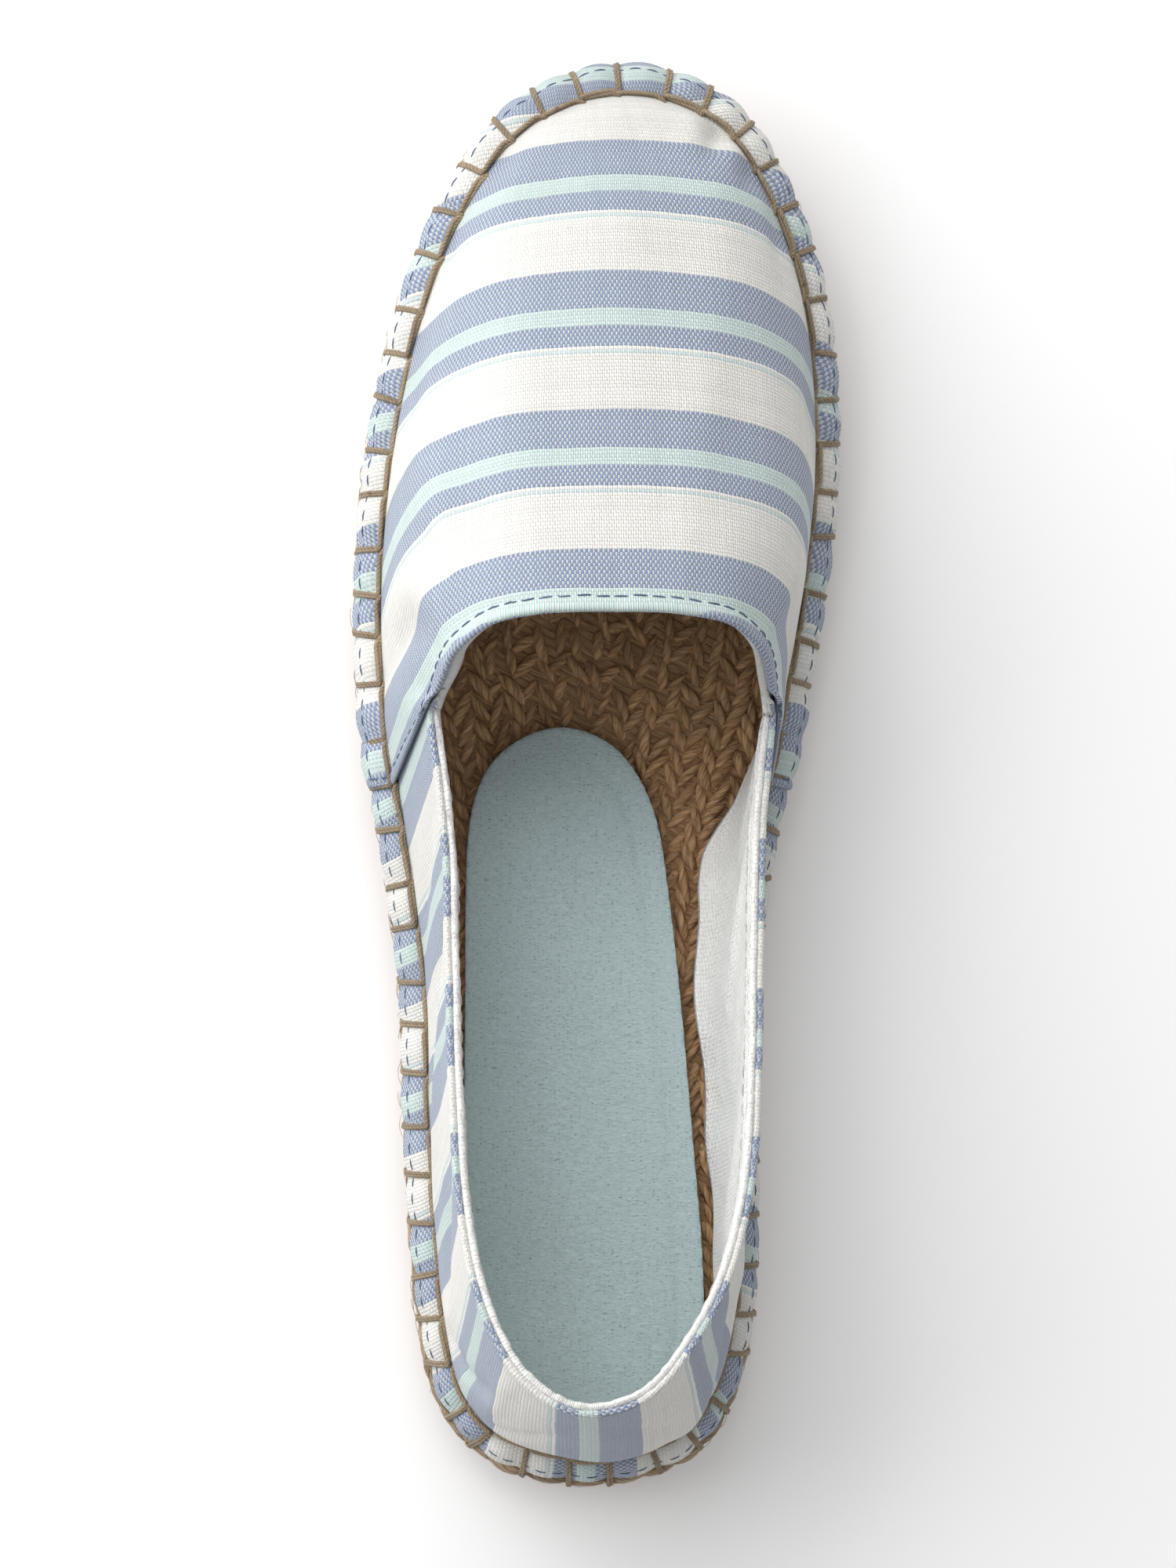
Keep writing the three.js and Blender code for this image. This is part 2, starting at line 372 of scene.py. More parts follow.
def tubes(name, paths, across, along_ref, ref, sides=8, spread=(0.0, 1.0)):
    """Many closed tubes at once. A path is a row of points; its section at each point is an
    ellipse, across by along_ref in half widths, with along_ref measured on the ref direction.
    A point at each end closes it. The UV is the length along and the way round, in mm."""
    count, steps = paths.shape[:2]
    tangent, side, up = frame_along(paths, ref)
    across = np.broadcast_to(across, (count, steps))[..., None, None]
    high = np.broadcast_to(along_ref, (count, steps))[..., None, None]
    angle = np.linspace(0, 2 * np.pi, sides, endpoint=False)[:, None]
    rings = (paths[:, :, None] + np.cos(angle) * across * side[:, :, None]
             + np.sin(angle) * high * up[:, :, None])
    tip = high[:, [0, -1], 0] * 0.9
    ends = paths[:, [0, -1]] + tangent[:, [0, -1]] * tip * np.array([[[-1], [1]]])
    points = np.concatenate([rings.reshape(count, -1, 3), ends], axis=1)
    each = steps * sides + 2

    k = np.repeat(np.arange(steps - 1), sides)
    j = np.tile(np.arange(sides), steps - 1)
    j1 = (j + 1) % sides
    quad = np.stack([k * sides + j, (k + 1) * sides + j, (k + 1) * sides + j1, k * sides + j1],
                    axis=-1)
    a, b, one = j[:sides], j1[:sides], np.ones(sides, dtype=int)
    last = (steps - 1) * sides
    caps = np.concatenate([np.stack([one * (each - 2), a, b], axis=-1),
                           np.stack([one * (each - 1), last + b, last + a], axis=-1)])
    shift = (np.arange(count) * each)[:, None, None]
    blocks = [(quad + shift).reshape(-1, 4), (caps + shift).reshape(-1, 3)]

    length = travelled(paths, axis=1)
    girth = 2 * np.pi * float(np.mean(across)) / sides
    offset = (np.arange(count) * 7.3)[:, None, None]
    u = length[:, np.stack([k, k + 1, k + 1, k], axis=-1)]
    v = np.stack([j, j, j + 1, j + 1], axis=-1) * girth + offset
    cap_u = np.repeat(np.repeat(length[:, [0, -1]], sides, axis=1)[..., None], 3, axis=-1)
    cap_v = np.tile(np.stack([a + 0.5, a, a + 1], axis=-1), (2, 1)) * girth + offset
    uv = [np.stack(pair, axis=-1).reshape(-1, 2) for pair in ((u, v), (cap_u, cap_v))]
    tone = np.repeat(random.uniform(*spread, count), each)
    return make_mesh(name, points, blocks, np.concatenate(uv), tone)


def place(piece, slot, material, *nodes):
    """The piece rides on the shoe, takes the material as its finish and stands for CAD nodes; the
    slot is not used.
    """
    piece.data.materials.append(material)
    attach(piece, "root")
    if nodes:
        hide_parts(*nodes)
    return piece


# %% [markdown]
# ## Finishes
#
# Every effect that several materials share is a node group: a plain weave, the lie of twisted
# fibres, and soft mottling with small specks. Each material places the group it needs with its
# own values, and keeps its own shader.


# %% Node helpers
def feed(tree, target, sockets):
    """Each named input of a node is linked to another node's socket or given a value. A
    name's spaces may be written as underscores."""
    for key, value in sockets.items():
        socket = target.inputs[key.replace("_", " ") if isinstance(key, str) else key]
        if isinstance(value, bpy.types.NodeSocket):
            tree.links.new(value, socket)
        else:
            socket.default_value = value
    return target


def node(tree, kind, sockets=None, **settings):
    """A new node with its settings and its inputs."""
    made = tree.nodes.new(kind)
    for key, value in settings.items():
        setattr(made, key, value)
    return feed(tree, made, sockets or {})


def calc(tree, operation, a, b=0.0, c=0.0):
    """The result of one Math node."""
    return node(tree, "ShaderNodeMath", {0: a, 1: b, 2: c}, operation=operation).outputs[0]


def blend(tree, factor, a, b, mode="MIX"):
    """The colour mixed from a to b by a factor."""
    made = node(tree, "ShaderNodeMix", {0: factor, 6: a, 7: b}, data_type="RGBA",
                blend_type=mode)
    return made.outputs[2]


def noise(tree, vector, scale, detail, roughness=0.5, dimensions="3D"):
    """The value and the colour of a noise texture."""
    return node(tree, "ShaderNodeTexNoise", {"Vector": vector, "Scale": scale, "Detail": detail,
                                             "Roughness": roughness},
                noise_dimensions=dimensions).outputs


def group(name, results, **numbers):
    """An empty node group: a vector goes in, with numbers that have defaults; numbers come
    out. Its last part is filled in by feed."""
    made = bpy.data.node_groups.new(name, "ShaderNodeTree")
    made.interface.new_socket("Vector", in_out="INPUT", socket_type="NodeSocketVector")
    for label, value in numbers.items():
        socket = made.interface.new_socket(label.replace("_", " "), in_out="INPUT",
                                           socket_type="NodeSocketFloat")
        socket.default_value = value
    for label in results:
        made.interface.new_socket(label, in_out="OUTPUT", socket_type="NodeSocketFloat")
    return made, made.nodes.new("NodeGroupInput").outputs, made.nodes.new("NodeGroupOutput")


def use(tree, shared, **sockets):
    """Places a shared group, and gives its outputs."""
    return node(tree, "ShaderNodeGroup", sockets, node_tree=shared).outputs


# %% Plain weave
def weave_group():
    """Two sets of threads at right angles, each going over and under the other in turn. A
    thread is a half round across and dips where it goes under; its number gives it a tone."""
    g, given, result = group("plain weave", ("Height", "Over", "Thread", "Row"), Pitch=0.34,
                             Row_Pitch=0.4, Slub=0.12)
    wander = noise(g, given[0], 0.35, 3.0, dimensions="2D")["Color"]
    centred = node(g, "ShaderNodeVectorMath", {0: wander, 1: (0.5, 0.5, 0.5)},
                   operation="SUBTRACT")
    moved = node(g, "ShaderNodeVectorMath", {0: centred.outputs[0], 3: 0.32},
                 operation="SCALE")
    where = node(g, "ShaderNodeVectorMath", {0: given[0], 1: moved.outputs[0]},
                 operation="ADD")
    x, y, _ = node(g, "ShaderNodeSeparateXYZ", {0: where.outputs[0]}).outputs
    a = calc(g, "DIVIDE", x, given["Pitch"])
    b = calc(g, "DIVIDE", y, given["Row Pitch"])
    ia = calc(g, "FLOOR", a)
    ib = calc(g, "FLOOR", b)
    turn = calc(g, "FLOORED_MODULO", calc(g, "ADD", ia, ib), 2.0)
    other = calc(g, "SUBTRACT", 1.0, turn)

    def half_round(value, whole):
        middle = calc(g, "SUBTRACT", calc(g, "SUBTRACT", value, whole), 0.5)
        return calc(g, "COSINE", calc(g, "MULTIPLY", middle, 2.9))

    def in_turn(first, second):
        return calc(g, "ADD", calc(g, "MULTIPLY", first, turn),
                    calc(g, "MULTIPLY", second, other))

    def random_tone(number):
        return node(g, "ShaderNodeTexWhiteNoise", {"W": number}, noise_dimensions="1D").outputs[0]

    ca = half_round(a, ia)
    cb = half_round(b, ib)
    over_a = calc(g, "MULTIPLY", ca, calc(g, "MULTIPLY_ADD", cb, 0.45, 0.55))
    over_b = calc(g, "MULTIPLY", cb, calc(g, "MULTIPLY_ADD", ca, 0.45, 0.55))
    thread = in_turn(random_tone(ia), random_tone(calc(g, "ADD", ib, 0.37)))
    slub = calc(g, "MULTIPLY", calc(g, "SUBTRACT", thread, 0.5), given["Slub"])
    feed(g, result, {"Height": calc(g, "ADD", in_turn(over_a, over_b), slub), "Over": turn,
                     "Thread": thread, "Row": calc(g, "MULTIPLY", ib, given["Row Pitch"])})
    return g


# %% Twisted fibres
def fibre_group():
    """Fine streaks along a strand that lean with its twist: noise squeezed across the strand,
    read on axes slanted by the twist. Height is the streaks plus the ply's half rounds; Gap is 1
    in the grooves between plies, for painted shade."""
    g, given, result = group("twisted fibres", ("Streak", "Height", "Gap"), Twist=0.6,
                             Fineness=4.0, Ply=1.2)
    x, y, _ = node(g, "ShaderNodeSeparateXYZ", {0: given[0]}).outputs
    lean = calc(g, "MULTIPLY_ADD", x, given["Twist"], y)
    across = calc(g, "MULTIPLY", lean, given["Fineness"])
    at = node(g, "ShaderNodeCombineXYZ", {0: calc(g, "MULTIPLY", x, 0.35), 1: across})
    streak = noise(g, at.outputs[0], 1.0, 4.0, 0.65, "2D")[0]
    half_ply = calc(g, "MULTIPLY", given["Ply"], 0.5)
    ply = calc(g, "DIVIDE", calc(g, "PINGPONG", lean, half_ply), half_ply)
    round_ply = calc(g, "SINE", calc(g, "MULTIPLY", ply, 1.5708))
    height = calc(g, "MULTIPLY_ADD", streak, 0.6, calc(g, "MULTIPLY", round_ply, 0.5))
    feed(g, result, {"Streak": streak, "Height": height,
                     "Gap": calc(g, "SUBTRACT", 1.0, round_ply)})
    return g


# %% Mottling and specks
def mottle_group():
    """Two sizes of soft noise for uneven dye or dirt, and specks: the middles of a few cells
    of a cell pattern, chosen by each cell's own random colour."""
    g, given, result = group("mottle and specks", ("Broad", "Fine", "Speck"), Broad=30.0,
                             Fine=400.0, Speck_Scale=900.0, Speck_Share=0.1)
    cells = node(g, "ShaderNodeTexVoronoi", {"Vector": given[0], "Scale": given["Speck Scale"]})
    pick = node(g, "ShaderNodeSeparateColor", {0: cells.outputs["Color"]})
    chosen = calc(g, "LESS_THAN", pick.outputs[0], given["Speck Share"])
    near = calc(g, "LESS_THAN", cells.outputs["Distance"], 0.33)
    feed(g, result, {"Broad": noise(g, given[0], given["Broad"], 3.0)[0],
                     "Fine": noise(g, given[0], given["Fine"], 4.0, 0.7)[0],
                     "Speck": calc(g, "MULTIPLY", chosen, near)})
    return g


WEAVE = weave_group()
FIBRE = fibre_group()
MOTTLE = mottle_group()


# %% Shared parts of every material
def on_cloth(tree):
    """Cloth coordinates in mm: the mesh's UV map."""
    return node(tree, "ShaderNodeUVMap", uv_map="cloth").outputs[0]


def mottle(tree, broad, fine, scale=900.0, share=0.1, stretch=None):
    """Mottling and specks on the object's own coordinates, which may be stretched."""
    where = node(tree, "ShaderNodeTexCoord").outputs["Object"]
    if stretch:
        where = node(tree, "ShaderNodeMapping", {"Vector": where, "Scale": stretch}).outputs[0]
    return use(tree, MOTTLE, Vector=where, Broad=broad, Fine=fine, Speck_Scale=scale,
               Speck_Share=share)


def material(name, roughness, **even):
    """A material with one Principled shader, its even values set on the shader's sockets."""
    made = bpy.data.materials.new(name)
    made.use_nodes = True
    tree = made.node_tree
    shader = feed(tree, tree.nodes["Principled BSDF"], {"Roughness": roughness, **even})
    return made, tree, shader


def finish(tree, shader, colour, rough, bumps):
    """Colour into the shader, a roughness spread from low to high by a value, and a chain of
    bumps, each a height in metres, into Normal."""
    value, low, high = rough
    spread = node(tree, "ShaderNodeMapRange", {0: value, 3: low, 4: high}).outputs[0]
    feed(tree, shader, {"Base Color": colour, "Roughness": spread})
    socket = shader.inputs["Normal"]
    for height, depth in bumps[::-1]:
        bump = node(tree, "ShaderNodeBump", {"Height": height, "Distance": depth,
                                             "Strength": 1.0})
        tree.links.new(bump.outputs[0], socket)
        socket = bump.inputs["Normal"]


def rgb(red, green, blue):
    """A colour with full alpha."""
    return (red, green, blue, 1.0)


def brightness(tree, colour, *steps):
    """The colour made darker or lighter step by step: in each, a value from 0 to 1 becomes a
    factor from low to high."""
    for value, low, high in steps:
        factor = node(tree, "ShaderNodeMapRange", {0: value, 3: low, 4: high}).outputs[0]
        grey = node(tree, "ShaderNodeCombineColor", {0: factor, 1: factor, 2: factor})
        colour = blend(tree, 1.0, colour, grey.outputs[0], "MULTIPLY")
    return colour


def specks(tree, colour, source, strength, tint):
    """The colour with a mottle's specks tinted in by a strength."""
    return blend(tree, calc(tree, "MULTIPLY", source["Speck"], strength), colour, tint)


# %% [markdown]
# ## The striped canvas
#
# The stripes are woven in: one set of threads is coloured in bands, the other is pale all
# over. The UV map is the cloth before it was cut, in millimetres: u along the stripes and v
# across them, so one repeat of 26.2 mm is a colour ramp on v, read thread by thread.

# %% Canvas material
REPEAT = 26.2
REPEAT_ROWS = 40
ROW_PITCH = REPEAT / REPEAT_ROWS
THREAD_PITCH = 0.37
WHITE_YARN = rgb(0.83, 0.815, 0.77)
BLUE_YARN = rgb(0.235, 0.30, 0.445)
MINT_YARN = rgb(0.535, 0.685, 0.67)
AQUA_YARN = rgb(0.56, 0.68, 0.70)
PALE_THREAD = rgb(0.82, 0.81, 0.77)
# the first row of threads of each band in the repeat, and its yarn
BANDS = [(0, MINT_YARN), (5, BLUE_YARN), (16, WHITE_YARN), (32, AQUA_YARN), (33, WHITE_YARN),
         (34, BLUE_YARN)]


def canvas_material():
    """Weave first, with painted shade where threads dip under, then the band of each row of
    threads, then uneven dye and a soft wrinkle.
    """
    made, tree, shader = material("striped canvas", 0.88, Sheen_Weight=0.12,
                                  Sheen_Roughness=0.5, Specular_IOR_Level=0.25)
    weave = use(tree, WEAVE, Vector=on_cloth(tree), Pitch=THREAD_PITCH, Row_Pitch=ROW_PITCH,
                Slub=0.25)
    row = calc(tree, "ADD", weave["Row"], ROW_PITCH / 2)
    phase = calc(tree, "DIVIDE", calc(tree, "FLOORED_MODULO", row, REPEAT), REPEAT)
    ramp = node(tree, "ShaderNodeValToRGB", {0: phase})
    ramp.color_ramp.interpolation = "CONSTANT"
    stops = ramp.color_ramp.elements
    while len(stops) < len(BANDS):
        stops.new(0.5)
    for stop, (start, yarn) in zip(stops, BANDS):
        stop.position = start / REPEAT_ROWS
        stop.color = yarn
    pale = blend(tree, 0.56, ramp.outputs[0], PALE_THREAD)
    mixed = blend(tree, weave["Over"], ramp.outputs[0], pale)
    dye = mottle(tree, 42.0, 700.0, 1100.0, 0.003)
    # Tone per thread, painted shade in the weave's hollows from its height, and uneven dye.
    colour = brightness(tree, mixed, (weave["Thread"], 0.96, 1.03), (weave["Height"], 0.86, 1.05),
                        (dye["Broad"], 0.94, 1.05))
    colour = specks(tree, colour, dye, 0.25, rgb(0.35, 0.33, 0.28))
    finish(tree, shader, colour, (dye["Fine"], 0.80, 0.95),
           [(dye["Broad"], 0.0010), (dye["Fine"], 0.00006), (weave["Height"], 0.00014)])
    return made


def lining_material():
    """A white brushed cloth: a fine nap over a faint weave, greyer where it is handled."""
    made, tree, shader = material("white lining", 0.95, Sheen_Weight=0.2,
                                  Sheen_Roughness=0.6, Specular_IOR_Level=0.2)
    weave = use(tree, WEAVE, Vector=on_cloth(tree), Pitch=0.75, Row_Pitch=0.9, Slub=0.5)
    nap = mottle(tree, 160.0, 1500.0, 1000.0, 0.004)
    colour = specks(tree, rgb(0.92, 0.91, 0.885), nap, 0.35, rgb(0.42, 0.39, 0.34))
    colour = brightness(tree, colour, (nap["Broad"], 0.95, 1.04), (nap["Fine"], 0.94, 1.07))
    finish(tree, shader, colour, (nap["Fine"], 0.88, 1.0),
           [(nap["Broad"], 0.0008), (nap["Fine"], 0.0003), (weave["Height"], 0.00014)])
    return made


# %% Jute, thread and rubber materials
def strand_material(name, dark, light, roughness, twist, fineness, ply, depth, **even):
    """Yarn of twisted fibres: pale streaks on a darker ground, its own tone for each strand
    from the tone attribute, and painted shade that darkens the grooves between plies."""
    made, tree, shader = material(name, roughness, **even)
    fibres = use(tree, FIBRE, Vector=on_cloth(tree), Twist=twist, Fineness=fineness, Ply=ply)
    tone = node(tree, "ShaderNodeAttribute", attribute_name="tone").outputs["Fac"]
    streak = node(tree, "ShaderNodeMapRange", {0: fibres["Streak"], 1: 0.33, 2: 0.67})
    stain = mottle(tree, 70.0, 900.0, 800.0, 0.04)
    # Each strand's tone, painted shade in the grooves between plies from Gap, then stains.
    colour = brightness(tree, blend(tree, streak.outputs[0], dark, light), (tone, 0.72, 1.15),
                        (fibres["Gap"], 1.05, 0.72), (stain["Broad"], 0.78, 1.16))
    colour = specks(tree, colour, stain, 0.5, rgb(0.10, 0.05, 0.025))
    finish(tree, shader, colour, (fibres["Streak"], roughness - 0.1, min(roughness + 0.1, 1.0)),
           [(stain["Fine"], depth * 0.5), (fibres["Height"], depth)])
    return made


def rubber_material():
    """Crepe rubber: a warm brown with a fine grain, dust in it and a slight gloss."""
    made, tree, shader = material("crepe rubber", 0.6, Specular_IOR_Level=0.4)
    grain = mottle(tree, 60.0, 1400.0, 600.0, 0.08)
    colour = brightness(tree, rgb(0.27, 0.105, 0.055), (grain["Broad"], 0.8, 1.2),
                        (grain["Fine"], 0.85, 1.12))
    colour = specks(tree, colour, grain, 0.3, rgb(0.38, 0.26, 0.18))
    finish(tree, shader, colour, (grain["Fine"], 0.5, 0.75), [(grain["Fine"], 0.0002)])
    return made


def sock_material():
    """A pale blue flocked foam: fine dark pin specks, a suede nap and a few stray fibres."""
    made, tree, shader = material("flocked sock foam", 0.92, Sheen_Weight=0.1,
                                  Specular_IOR_Level=0.2)
    stretch = (0.6, 1.4, 1.0)
    nap = mottle(tree, 35.0, 1900.0, 2300.0, 0.25, stretch)
    stray = mottle(tree, 90.0, 300.0, 1200.0, 0.006, stretch)
    colour = brightness(tree, rgb(0.47, 0.573, 0.592), (nap["Broad"], 0.93, 1.07),
                        (nap["Fine"], 0.62, 1.38))
    colour = specks(tree, colour, nap, 0.48, rgb(0.13, 0.20, 0.23))
    colour = specks(tree, colour, stray, 0.4, rgb(0.13, 0.15, 0.16))
    finish(tree, shader, colour, (nap["Fine"], 0.85, 0.98),
           [(nap["Fine"], 0.00028), (stray["Fine"], 0.0003)])
    return made


CANVAS = canvas_material()
LINING = lining_material()
JUTE = strand_material("jute braid", rgb(0.25, 0.155, 0.085), rgb(0.60, 0.46, 0.30), 0.9,
                       0.55, 3.6, 1.5, 0.00045, Sheen_Weight=0.15, Specular_IOR_Level=0.3)
JUTE_BED = strand_material("jute footbed", rgb(0.335, 0.178, 0.082), rgb(0.67, 0.43, 0.24), 0.92,
                           0.5, 3.2, 1.6, 0.0004, Specular_IOR_Level=0.2)
THREAD = strand_material("waxed thread", rgb(0.23, 0.16, 0.10), rgb(0.46, 0.36, 0.24), 0.5,
                         1.1, 6.0, 0.85, 0.0002, Specular_IOR_Level=0.45)
SEWING, PALE_SEWING = (
    strand_material(name, dark, light, 0.7, 1.2, 9.0, 0.4, 0.00006, Specular_IOR_Level=0.3)
    for name, dark, light in (
        ("sewing thread", rgb(0.075, 0.11, 0.20), rgb(0.19, 0.25, 0.38)),
        ("pale sewing thread", rgb(0.46, 0.45, 0.42), rgb(0.80, 0.79, 0.75))))
RUBBER = rubber_material()
SOCK = sock_material()

# %% [markdown]
# ## Rubber outsole
#
# A thin sheet of rubber under the jute, moulded with fine ribs across. It is carried along the
# shoe as a section: at each y the sole's edge gives the width, and the underside steps up and
# down with the ribs, which show as a fine saw edge where the toe and the heel lift.

# %% Build the outsole
RUBBER_TOP = 2.2
RUBBER_INSET = 0.9
RIB_PITCH = 1.7
RIB_DEPTH = 0.45


def sole_sides(y, inset):
    """x of the sole's two edges at y, read off the drawn-in outline."""
    u = np.linspace(0, TURN, 2801)
    p = ring(u, inset, 0.0)
    outer = u <= HEEL
    a = p[outer]
    b = p[~outer][::-1]
    return np.interp(y, a[:, 1], a[:, 0]), np.interp(y, b[:, 1], b[:, 0])


def outsole():
    """Sections across the shoe: underside, rounded lower edges, sides and top."""
    tip = LENGTH / 2 - RUBBER_INSET
    end = tip - np.geomspace(1.2, 0.004, 14)
    y = np.concatenate([-end[::-1], np.linspace(-tip + 1.4, tip - 1.4, 610), end])
    outer, inner = sole_sides(y, RUBBER_INSET)
    middle = (outer + inner) / 2
    half = np.maximum((outer - inner) / 2, 0.03)
    rib = RIB_DEPTH * smooth(np.abs((y / RIB_PITCH) % 1 - 0.5), 0.16, 0.34)
    across = np.array([-1, -0.98, -0.5, 0, 0.5, 0.98, 1, 1, 0, -1])
    shrink = np.array([0.0, 0.7, 0.7, 0.7, 0.7, 0.7, 0.0, 0.0, 0.0, 0.0])
    high = np.array([0.5, 0, 0, 0, 0, 0, 0.5, RUBBER_TOP, RUBBER_TOP, RUBBER_TOP])
    low = np.array([0.6, 1, 1, 1, 1, 1, 0.6, 0, 0, 0])
    x = middle + across[:, None] * np.maximum(half - shrink[:, None], 0.02)
    z = high[:, None] + low[:, None] * rib + lift(y)
    p = np.stack([x, np.broadcast_to(y, x.shape), z], axis=-1)
    rows, columns = p.shape[:2]
    quads = grid_faces(rows, columns, wrap_rows=True)[:, ::-1]
    last = np.arange(columns - 1, rows * columns, columns)
    caps = np.stack([last[::-1] - columns + 1, last])
    return make_mesh("rubber_outsole", p, [quads, caps], p[..., :2])


place(outsole(), "rubber", RUBBER, "outsole")

# %% [markdown]
# ## Jute midsole
#
# The sole is one long braid of jute laid on edge, wound round and round and stitched through.
# From the side it shows two courses of plump strands that lean against each other like a
# herringbone; from above, the rows of the same braid make the footbed. A core, painted darker
# than any strand as shade for the gaps, fills the sole, and each strand is a short spindle laid
# on it, so the gaps between strands are real.

# %% Core of the sole
CORE_LEVELS = [(2.2, 2.4), (1.5, 3.3), (1.4, 5.6), (2.0, 6.9), (1.4, 8.2), (1.4, 9.8),
               (2.0, 11.0), (5.4, 13.0)]


def core():
    """Rings of the sole's edge at rising heights, closed above and below by strips across."""
    u = np.linspace(0, TURN, 240, endpoint=False)
    rings = np.stack([ring(u, inset, height) for inset, height in CORE_LEVELS])
    rows, columns = rings.shape[:2]
    quads = grid_faces(rows, columns, wrap_columns=True)
    k = np.arange(1, columns // 2 - 1)
    strip = np.stack([k, k + 1, columns - k - 1, columns - k], axis=-1)
    tips = np.array([[0, 1, columns - 1], [columns // 2 - 1, columns // 2, columns // 2 + 1]])
    top = (rows - 1) * columns
    blocks = [quads, strip + top, strip[:, ::-1], tips + top, tips[:, ::-1]]
    # The tone of 0.15, below every strand's, is painted shade for the gaps between strands.
    return make_mesh("jute_core", rings, blocks, rings[..., :2], np.full(rows * columns, 0.15))


place(core(), "jute", JUTE_BED, "midsole")


# %% Braid round the side
SIDE_COUNT = 86
COURSE_RISE = 1.35
STRAND_WIDE = 1.95
STRAND_DEEP = 1.45


def at_heel(u):
    """1 at the heel, fading to 0 towards the waist on both sides."""
    return bell(HEEL - from_toe(u), np.sqrt(11.0))


def strands_on_edge(middle, slant, shift):
    """Spindles along one course of the braid. A strand's centre line leans by slant degrees
    between the course's two edges; its half width swells as the square root of a cosine."""
    count = SIDE_COUNT
    t = np.linspace(-1, 1, 7)
    places = np.arange(count)[:, None] + shift + jitter(-0.13, 0.13, count)
    half = jitter(4.9, 5.9, count)
    angle = np.radians(slant + jitter(-6, 6, count))
    u = edge_at(places * PERIMETER / count + np.cos(angle) * half * t)
    rise = COURSE_RISE * np.sin(t * 1.25) * np.sign(np.sin(angle)) + jitter(-0.25, 0.25, count)
    fullness = np.sqrt(np.cos(t * 1.42))
    inset = 1.75 - 0.35 * np.cos(t * 1.57) + jitter(-0.25, 0.2, count)
    paths = ring(u, inset - 0.6 * at_heel(u), middle + rise)
    wide = STRAND_WIDE * fullness * jitter(0.9, 1.12, count)
    deep = STRAND_DEEP * fullness * jitter(0.9, 1.1, count)
    return paths, wide, deep, outward_level(u)


COURSES = [strands_on_edge(9.35, 33, 0.0), strands_on_edge(4.75, -33, 0.45)]
paths, wide, deep, out = (np.concatenate(pair) for pair in zip(*COURSES))
place(tubes("jute_side_braid", paths, wide, deep, out, spread=(0.25, 1.0)), "jute", JUTE)


# %% Footbed braid
BED_PITCH = 3.0
SPINE_ENDS = (-88.0, 96.0)


def footbed():
    """Rows of spindles from the feather line to the sole's middle line. A row is the edge
    moved a share of the way to that line; neighbouring rows lean opposite ways."""
    strands = []
    for row in range(13):
        inset = 5.8 + BED_PITCH * row
        count = int((PERIMETER - 5.0 * inset) / 3.2)
        arc = (np.arange(count) + random.uniform(-0.2, 0.2, count)) * PERIMETER / count
        u = edge_at(arc)
        plan = spline(EDGE, u, True)
        y_spine = np.clip(plan[:, 1], *SPINE_ENDS)
        outer, inner = sole_sides(y_spine, 0.0)
        spine = np.stack([(outer + inner) / 2, y_spine], axis=1)
        gap = np.linalg.norm(plan - spine, axis=1)
        at = plan + (spine - plan) * np.minimum(inset / gap, 1)[:, None]
        covered = (at[:, 1] > 8) & (at[:, 1] < 100) & (np.abs(at[:, 0] - 4.5) < 13.5)
        keep = (gap > inset) & ~covered
        along = edge_step(u)
        turn = np.arctan2(along[:, 1], along[:, 0])
        lean = np.radians(29.0) * (1 if row % 2 else -1)
        loose = smooth(-plan[:, 1], -20, 60) * smooth(float(row), 1.0, 5.0)
        wild = random.uniform(-0.8, 0.8, count) * loose + random.uniform(-0.2, 0.2, count)
        angle = (turn + lean + wild)[:, None]
        half = jitter(2.6, 4.4, count)
        width = jitter(0.85, 1.3, count)
        strands.append(np.hstack([at, angle, half, width])[keep])
    x, y, angle, half, width = np.concatenate(strands).T[..., None]
    t = np.linspace(-1, 1, 5)
    bow = jitter(-0.5, 0.5, len(x)) * (1 - t**2)
    x = x + np.cos(angle) * half * t - np.sin(angle) * bow
    y = y + np.sin(angle) * half * t + np.cos(angle) * bow
    top = 12.85 + jitter(-0.25, 0.3, len(x)) - 0.7 * t**4
    full = np.sqrt(np.cos(t * 1.4))
    return tubes("jute_footbed", np.stack([x, y, top + lift(y)], axis=-1), width * full,
                 1.15 * full, UP, sides=6, spread=(0.3, 1.0))


place(footbed(), "jute", JUTE_BED)

# %% [markdown]
# ## Blanket stitch places
#
# The upper is sewn to the jute with a blanket stitch: a thread runs along the feather line,
# and a leg crosses the hem at each stitch and dives into the braid. The legs pinch the hem, so
# their places are settled first: the hem swells between them.

# %% Stitch places
STITCH_PITCH = 8.6
STITCHES = int(round(PERIMETER / STITCH_PITCH))
STITCH_ARC = np.arange(STITCHES) + random.uniform(-0.11, 0.11, STITCHES)
STITCH_ARC = STITCH_ARC * PERIMETER / STITCHES + 1.2


def between_stitches(u):
    """0 at a stitch and 1 half way to the next: the sine of half a turn per stitch."""
    arc = arc_at(u)
    more = np.concatenate([STITCH_ARC - PERIMETER, STITCH_ARC, STITCH_ARC + PERIMETER])
    index = np.interp(arc, more, np.arange(len(more)))
    return np.abs(np.sin(np.pi * index))


print("blanket stitches", STITCHES)
